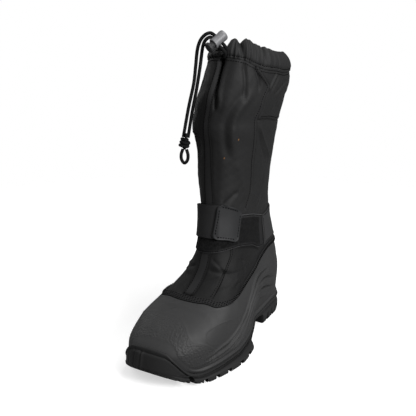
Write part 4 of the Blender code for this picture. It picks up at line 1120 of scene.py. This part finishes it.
def shaft():
    angles = even_angles(200.0, 440)
    line = topline(angles)
    tuck = -(SHELL_WALL + 4 * GAP)
    hem = [(climb(angles, line, up), out) for up, out in (
        (-9.0, tuck), (0.5, tuck), (2.0, -1.6), (4.0, 0.0))]
    rows = hem + [(shaft_height(angles, share), 0.0) for share in np.linspace(0, 1, 180)]
    heights = np.array([h for h, _ in rows])
    out = np.array([[o] for _, o in rows])
    turn = np.broadcast_to(angles, heights.shape)
    outer = skin(turn, heights, out + shaft_out(turn, heights))
    rows = hem[:2] + hem[3:] + [(shaft_height(angles, s), 0.0) for s in np.linspace(0, 1, 30)]
    inner = np.array([skin(angles, h, o - SHAFT_WALL) for h, o in rows])
    places = base(turn, heights)
    beside, upper, over, back = seams(turn, heights)
    # The seam and vamp masks paint shade: dark in the seams' grooves and overlaps, darker cloth
    # low on the vamp.
    seam = bell(beside - 1.0, 0.9) * upper + bell(over + 0.7, 0.8) * back
    masks = {"lint": np.clip(relief(places, LINT), 0, 1),
             "vamp": (1 - ramp(heights, 146, 158)) * (1 - 0.5 * ramp(aside(turn), 60, 100)),
             "seam": np.clip(seam - 1.1 * relief(places, VAMP_SEAMS), 0, 1)}
    item = wall("shaft_nylon", outer, inner, NYLON, "shaft", masks)


def lining():
    """Felt inside the shaft, from the foot to the collar."""
    angles = even_angles(200.0, 200)
    heights = np.array([shaft_height(angles, share) for share in np.linspace(0.0, 0.995, 60)])
    turn = np.broadcast_to(angles, heights.shape)
    soft = 0.35 * ripple(base(turn, heights), 30, 5)
    near = skin(turn, heights, -SHAFT_WALL - 0.4)
    far = skin(turn, heights, -SHAFT_WALL - 1.3 - 0.5 * (1 + soft))
    wall("shaft_lining", near, far, LINING)


def seam_rows():
    """Rows of stitches beside the shaft's seams."""
    heights = np.linspace(190, 372, 260)
    rows = [(along(SIDE_SEAM, heights) - 4.2, heights)]
    around = np.linspace(66, 344, 600)
    rows.append((around, along(BACK_SEAM, around) + 3.0))
    a, h = surface_route(VAMP_SEAMS[0][2], 1.0)
    rows += [(a - 1.6, h), (a + 1.6, h)]
    around = np.linspace(-178, 178, 800)
    rows.append((around, stitch_line(around) - 2.6))
    placed = []
    for a, h in rows:
        keep = h > climb(a, topline(a), BINDING_WIDTH + 2)
        a, h = a[keep], h[keep]
        placed.append((a, h, shaft_out(a[None], h[None])[0]))
    return placed


def gathers(angles, share):
    """Small irregular gathers of the tunnel, strongest at the stitch line."""
    def wave(count, wander, slow):
        return np.sin(count * turn + wander * np.sin(slow * turn))
    turn = np.radians(angles)
    waves = wave(47, 2, 3) + 0.7 * wave(71, 1.3, 5)
    return 0.45 * waves * (1 - 0.5 * share) + 0.25 * wave(113, 2.2, 7) * (1 - share) ** 2


def collar_out(angles, share):
    """Height of a row of the collar, its distance out, and how much of that is the front gap."""
    height = stitch_line(angles) + 1.5 * GAP
    height = height + share * (top_edge(angles) - height)
    gap = front_gap(angles, height) * (1 - 0.5 * share) \
        - POCKET_DEPTH * (0.4 + share) * bell(signed(angles) - POCKET_PLEAT, 2.0)
    row = -0.6 * math.exp(-((share - 0.12) * 22) ** 2)
    return height, tunnel(angles, share) + gathers(angles, share) + gap + row, gap


def collar():
    angles = even_angles(385.0, 720)
    # columns: share of the way up, depth of the rolled edge there
    rows = [(share, 0.0) for share in np.linspace(0, 0.97, 40)]
    rows += [(0.985, 0.35), (0.996, 0.8), (1.0, 1.3)]
    outer, inner = [], []
    for share, roll in rows:
        height, out, gap = collar_out(angles, share)
        outer.append(skin(angles, height, out - roll))
        inside = tunnel(angles, share) + 0.5 * gathers(angles, share) + gap
        if len(outer) % 3 == 1 or roll:
            inner.append(skin(angles, height, inside - COLLAR_WALL + roll * 0.8))
    item = wall("collar_tunnel", np.array(outer), np.array(inner), NYLON, "collar")
    fine = np.linspace(-179, 179, 1200)
    height, out, _ = collar_out(fine, 0.12)
    stitches("collar_stitches", [(fine, height, out)] + seam_rows())


# ---- straps and trim ----------------------------------------------------------------------
EDGE_SHARES = [0, 0.012, 0.03, 0.06]  # close rows at the edges of what lies on the shaft


def band_rows(low, high, end_shares):
    shares = EDGE_SHARES + list(np.linspace(0.1, 0.9, 18)) + end_shares
    return low + np.array(shares)[:, None] * (high - low)


def band_grid(table, first, last, margin=0.0):
    angles = np.sort(signed(even_angles(165.0, 260)))
    angles = angles[(angles > first + 0.5) & (angles < last - 0.5)]
    angles = np.concatenate([[first], angles, [last]])
    low, high = edge_heights(table, angles)
    heights = band_rows(low + margin, high - margin, [1 - e for e in reversed(EDGE_SHARES)])
    return np.broadcast_to(angles, heights.shape), heights


def trim():
    foot = float(climb(0.0, topline(0.0), BINDING_WIDTH + 1.0))
    top = float(stitch_line(0.0)) - 3
    levels = np.linspace(foot, top, 130)
    shares = (-1, -0.97, -0.9, -0.7, -0.4, 0, 0.4, 0.7, 0.9, 0.97, 1)
    angles = np.array([strip_angles(h, shares) for h in levels])
    heights = np.broadcast_to(levels[:, None], angles.shape)
    pad("front_strip_tape", angles, heights, OVER, STRIP_THICKNESS, WEBBING,
        "front_strip")
    rows = [(angles[:, column], levels, OVER + STRIP_THICKNESS) for column in (3, 7)]
    angles, heights = band_grid(BAND, -BAND_END, BAND_END)
    pad("ankle_band_tape", angles, heights, over_strip(angles), BAND_THICKNESS, BAND_WEBBING,
        "ankle_band")
    around = np.linspace(2 - BAND_END, BAND_END - 2, 600)
    low, high = edge_heights(BAND, around)
    on_band = over_strip(around) + BAND_THICKNESS
    rows += [(around, low + SEWN_IN, on_band), (around, high - SEWN_IN, on_band)]
    ends = np.linspace(0.05, 0.95, 60)
    for end in (2.2 - BAND_END, BAND_END - 2.2):
        low, high = edge_heights(BAND, end)
        rows.append((np.full(60, end), low + ends * (high - low), OVER + BAND_THICKNESS))
    angles, heights = band_grid(BAND, *PILE_SPAN, margin=PILE_EDGE)
    pad("loop_pile", angles, heights, over_strip(angles) + BAND_THICKNESS + 1.5 * GAP,
        PILE_THICKNESS, PILE, "loop_patch")
    end = float(go_round(TAB_START, STRAP_MIDDLE, TAB_LENGTH - TAB_OVERHANG))
    angles, heights = band_grid(STRAP, -BAND_END, end)
    pad("strap_webbing", angles, heights, over_band(angles), STRAP_THICKNESS, WEBBING,
        "strap", edge=0.9)
    fine = np.linspace(STAY_ANGLE + 2, 358 - STAY_ANGLE, 500)
    on_stay = OVER + STAY_THICKNESS
    rows.append((fine, stay_top(fine) - 2.0, on_stay))
    rows.append((fine, climb(fine, topline(fine), BINDING_WIDTH + 3.0), on_stay))
    for end in (STAY_ANGLE + 1.7, 358.3 - STAY_ANGLE):
        foot = climb(end, topline(end), BINDING_WIDTH + 3.0)
        rows.append((np.full(60, end), foot + ends * (STAY_TOP - 2 - foot), on_stay))
    stitches("trim_stitches", rows)


def tab_grid():
    low, high = edge_heights(STRAP, TAB_START)
    height = float(high - low) + 1.0
    down = [TAB_CORNER * (1 - math.cos(math.radians(t))) for t in range(0, 91, 15)]
    levels = down + list(np.linspace(TAB_CORNER + 1.5, height - TAB_CORNER - 1.5, 20)) \
        + [height - d for d in reversed(down)]
    edge = [0, 0.4, 1, 1.8, 2.6]
    ends = np.array(edge + list(np.linspace(4, TAB_LENGTH - 4, 16))
                    + [TAB_LENGTH - e for e in reversed(edge)]) / TAB_LENGTH
    angles, heights = [], []
    for level in levels:
        reach = max(TAB_CORNER - level, level - (height - TAB_CORNER), 0.0)
        inset = TAB_CORNER - math.sqrt(max(TAB_CORNER**2 - reach**2, 0.0))
        start = TAB_START - TAB_LEAN * (1 - level / height)
        turn = go_round(start, STRAP_MIDDLE, inset + ends * (TAB_LENGTH - 2 * inset))
        low, high = edge_heights(STRAP, turn)
        angles.append(turn)
        heights.append(low - 0.5 + level * (high - low + 1.0) / height)
    return np.array(angles), np.array(heights)


def tab():
    angles, heights = tab_grid()
    near = to_side(skin(angles, heights))
    bead = 0.25 * bell(near - 1.2, 0.7) - TAB_SUNK * ramp(near, 1.9, 2.6)
    out = over_band(angles) + STRAP_THICKNESS + 2 * GAP
    thickness = TAB_THICKNESS - 0.3
    pad("strap_tab_rubber", angles, heights, out, thickness, TAB_RUBBER,
        "strap_tab", rim=bead)
    thread = 0.45  # the stitches lie this deep in the tab
    sides = (np.s_[6:-6, 4], np.s_[6:-6, -5], np.s_[4, 5:-5], np.s_[-5, 5:-5])
    stitches("tab_stitches", [(angles[row], heights[row], out[row] + thickness - thread)
                              for row in sides], pitch=3.6, length=2.4, width=1.4)


def stay_top(angles):
    """Height of the heel stay's top edge."""
    return STAY_TOP + STAY_TOP_RISE * ramp(aside(angles), STAY_ANGLE, 150)


def heel_stay():
    angles = even_angles(150.0, 260)
    angles = angles[(angles > STAY_ANGLE + 0.5) & (angles < 359.5 - STAY_ANGLE)]
    angles = np.concatenate([[STAY_ANGLE], angles, [360 - STAY_ANGLE]])
    low = climb(angles, topline(angles), BINDING_WIDTH + 1.0)
    heights = band_rows(low, stay_top(angles), [0.94, 0.97, 0.988, 1])
    pad("heel_stay_panel", np.broadcast_to(angles, heights.shape), heights, OVER, STAY_THICKNESS,
        STAY_CLOTH, "heel_stay")


outsole()
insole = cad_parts["insole"].data.materials
insole.clear()
insole.append(FELT)
shell()
binding()
shaft()
lining()
collar()
trim()
tab()
heel_stay()


# ---- camera, floor and light --------------------------------------------------------------
FLOOR_TONE = 0.6
BOUNCE_TONE = 0.3  # what the boot gets back from the floor
PAPER_GLOW = 0.58
AMBIENT = 0.2


def camera():
    right = Vector((0.875, 0.483, 0.003)).normalized()
    back = Vector((0.461, -0.837, 0.295)).normalized()
    up = back.cross(right).normalized()
    data = bpy.data.cameras.new("view")
    data.lens, data.sensor_width = 49.63, 36.0
    data.shift_x, data.shift_y = -0.0196, 0.0365
    item = add_object("view", data)
    turn = Matrix((up.cross(back), up, back)).transposed().to_4x4()
    item.matrix_world = Matrix.Translation(Vector(put((350.4, -636.1, 394.0)))) @ turn
    bpy.context.scene.camera = item


def paper():
    """White paper that fades into the white far behind.

    The camera sees the paper brighter than the boot does, so that little light comes up from it.
    """
    made = shader("floor_paper", (FLOOR_TONE,) * 3, 0.9, 0.0)
    nodes = made.node_tree.nodes
    own = node(made, "ShaderNodeTexCoord")["Object"]
    far = node(made, "ShaderNodeVectorMath", {0: own}, operation="LENGTH")["Value"]
    fade = node(made, "ShaderNodeMapRange", {"From Min": 0.45, "From Max": 1.1, "Value": far})[0]
    glow = node(made, "ShaderNodeEmission", {"Strength": PAPER_GLOW})[0]
    lit = node(made, "ShaderNodeAddShader", {0: nodes["Principled BSDF"].outputs[0], 1: glow})[0]
    dim = node(made, "ShaderNodeBsdfDiffuse", {"Color": (BOUNCE_TONE,) * 3 + (1,)})[0]
    seen = node(made, "ShaderNodeLightPath")["Is Camera Ray"]
    shown = node(made, "ShaderNodeMixShader", {0: seen, 1: dim, 2: lit})[0]
    clear = node(made, "ShaderNodeBsdfTransparent")[0]
    both = node(made, "ShaderNodeMixShader", {0: fade, 1: shown, 2: clear})[0]
    feed(made, both, nodes["Material Output"].inputs["Surface"])
    return made


def studio():
    reach = 6.0
    mesh = bpy.data.meshes.new("floor")
    mesh.from_pydata([(x * reach, y * reach, 0) for x, y in ((-1, -1), (1, -1), (1, 1), (-1, 1))],
                     [], [(0, 1, 2, 3)])
    mesh.materials.append(paper())
    add_object("floor", mesh)
    world = bpy.data.worlds.new("studio")
    bpy.context.scene.world = world
    world.use_nodes = True
    seen = node(world, "ShaderNodeLightPath")["Is Camera Ray"]
    strength = node(world, "ShaderNodeMapRange", {"To Min": AMBIENT, "To Max": 1.0, "Value": seen})
    sky = world.node_tree.nodes["Background"].inputs
    sky["Color"].default_value = (1, 1, 1, 1)
    feed(world, strength[0], sky["Strength"])
    bpy.context.scene.view_settings.view_transform = "Standard"


def lamp(name, place, height, size, power):
    """Square area light that faces the boot's middle at a height; power is in watts."""
    data = bpy.data.lights.new(name, "AREA")
    data.size = size
    data.energy = power
    item = add_object(name, data)
    item.location = place
    way = Vector((0, 0, height)) - Vector(place)
    item.rotation_euler = way.to_track_quat("-Z", "Y").to_euler()


camera()
studio()
lamp("key", (1.35, -0.4, 0.85), 0.25, 0.6, 31)
lamp("top", (0.45, 0.1, 1.6), 0.3, 0.7, 14)
lamp("fill", (-0.6, -1.2, 1.7), 0.25, 1.2, 7)
lamp("rear", (-1.8, 0.4, 1.1), 0.2, 1.2, 9)
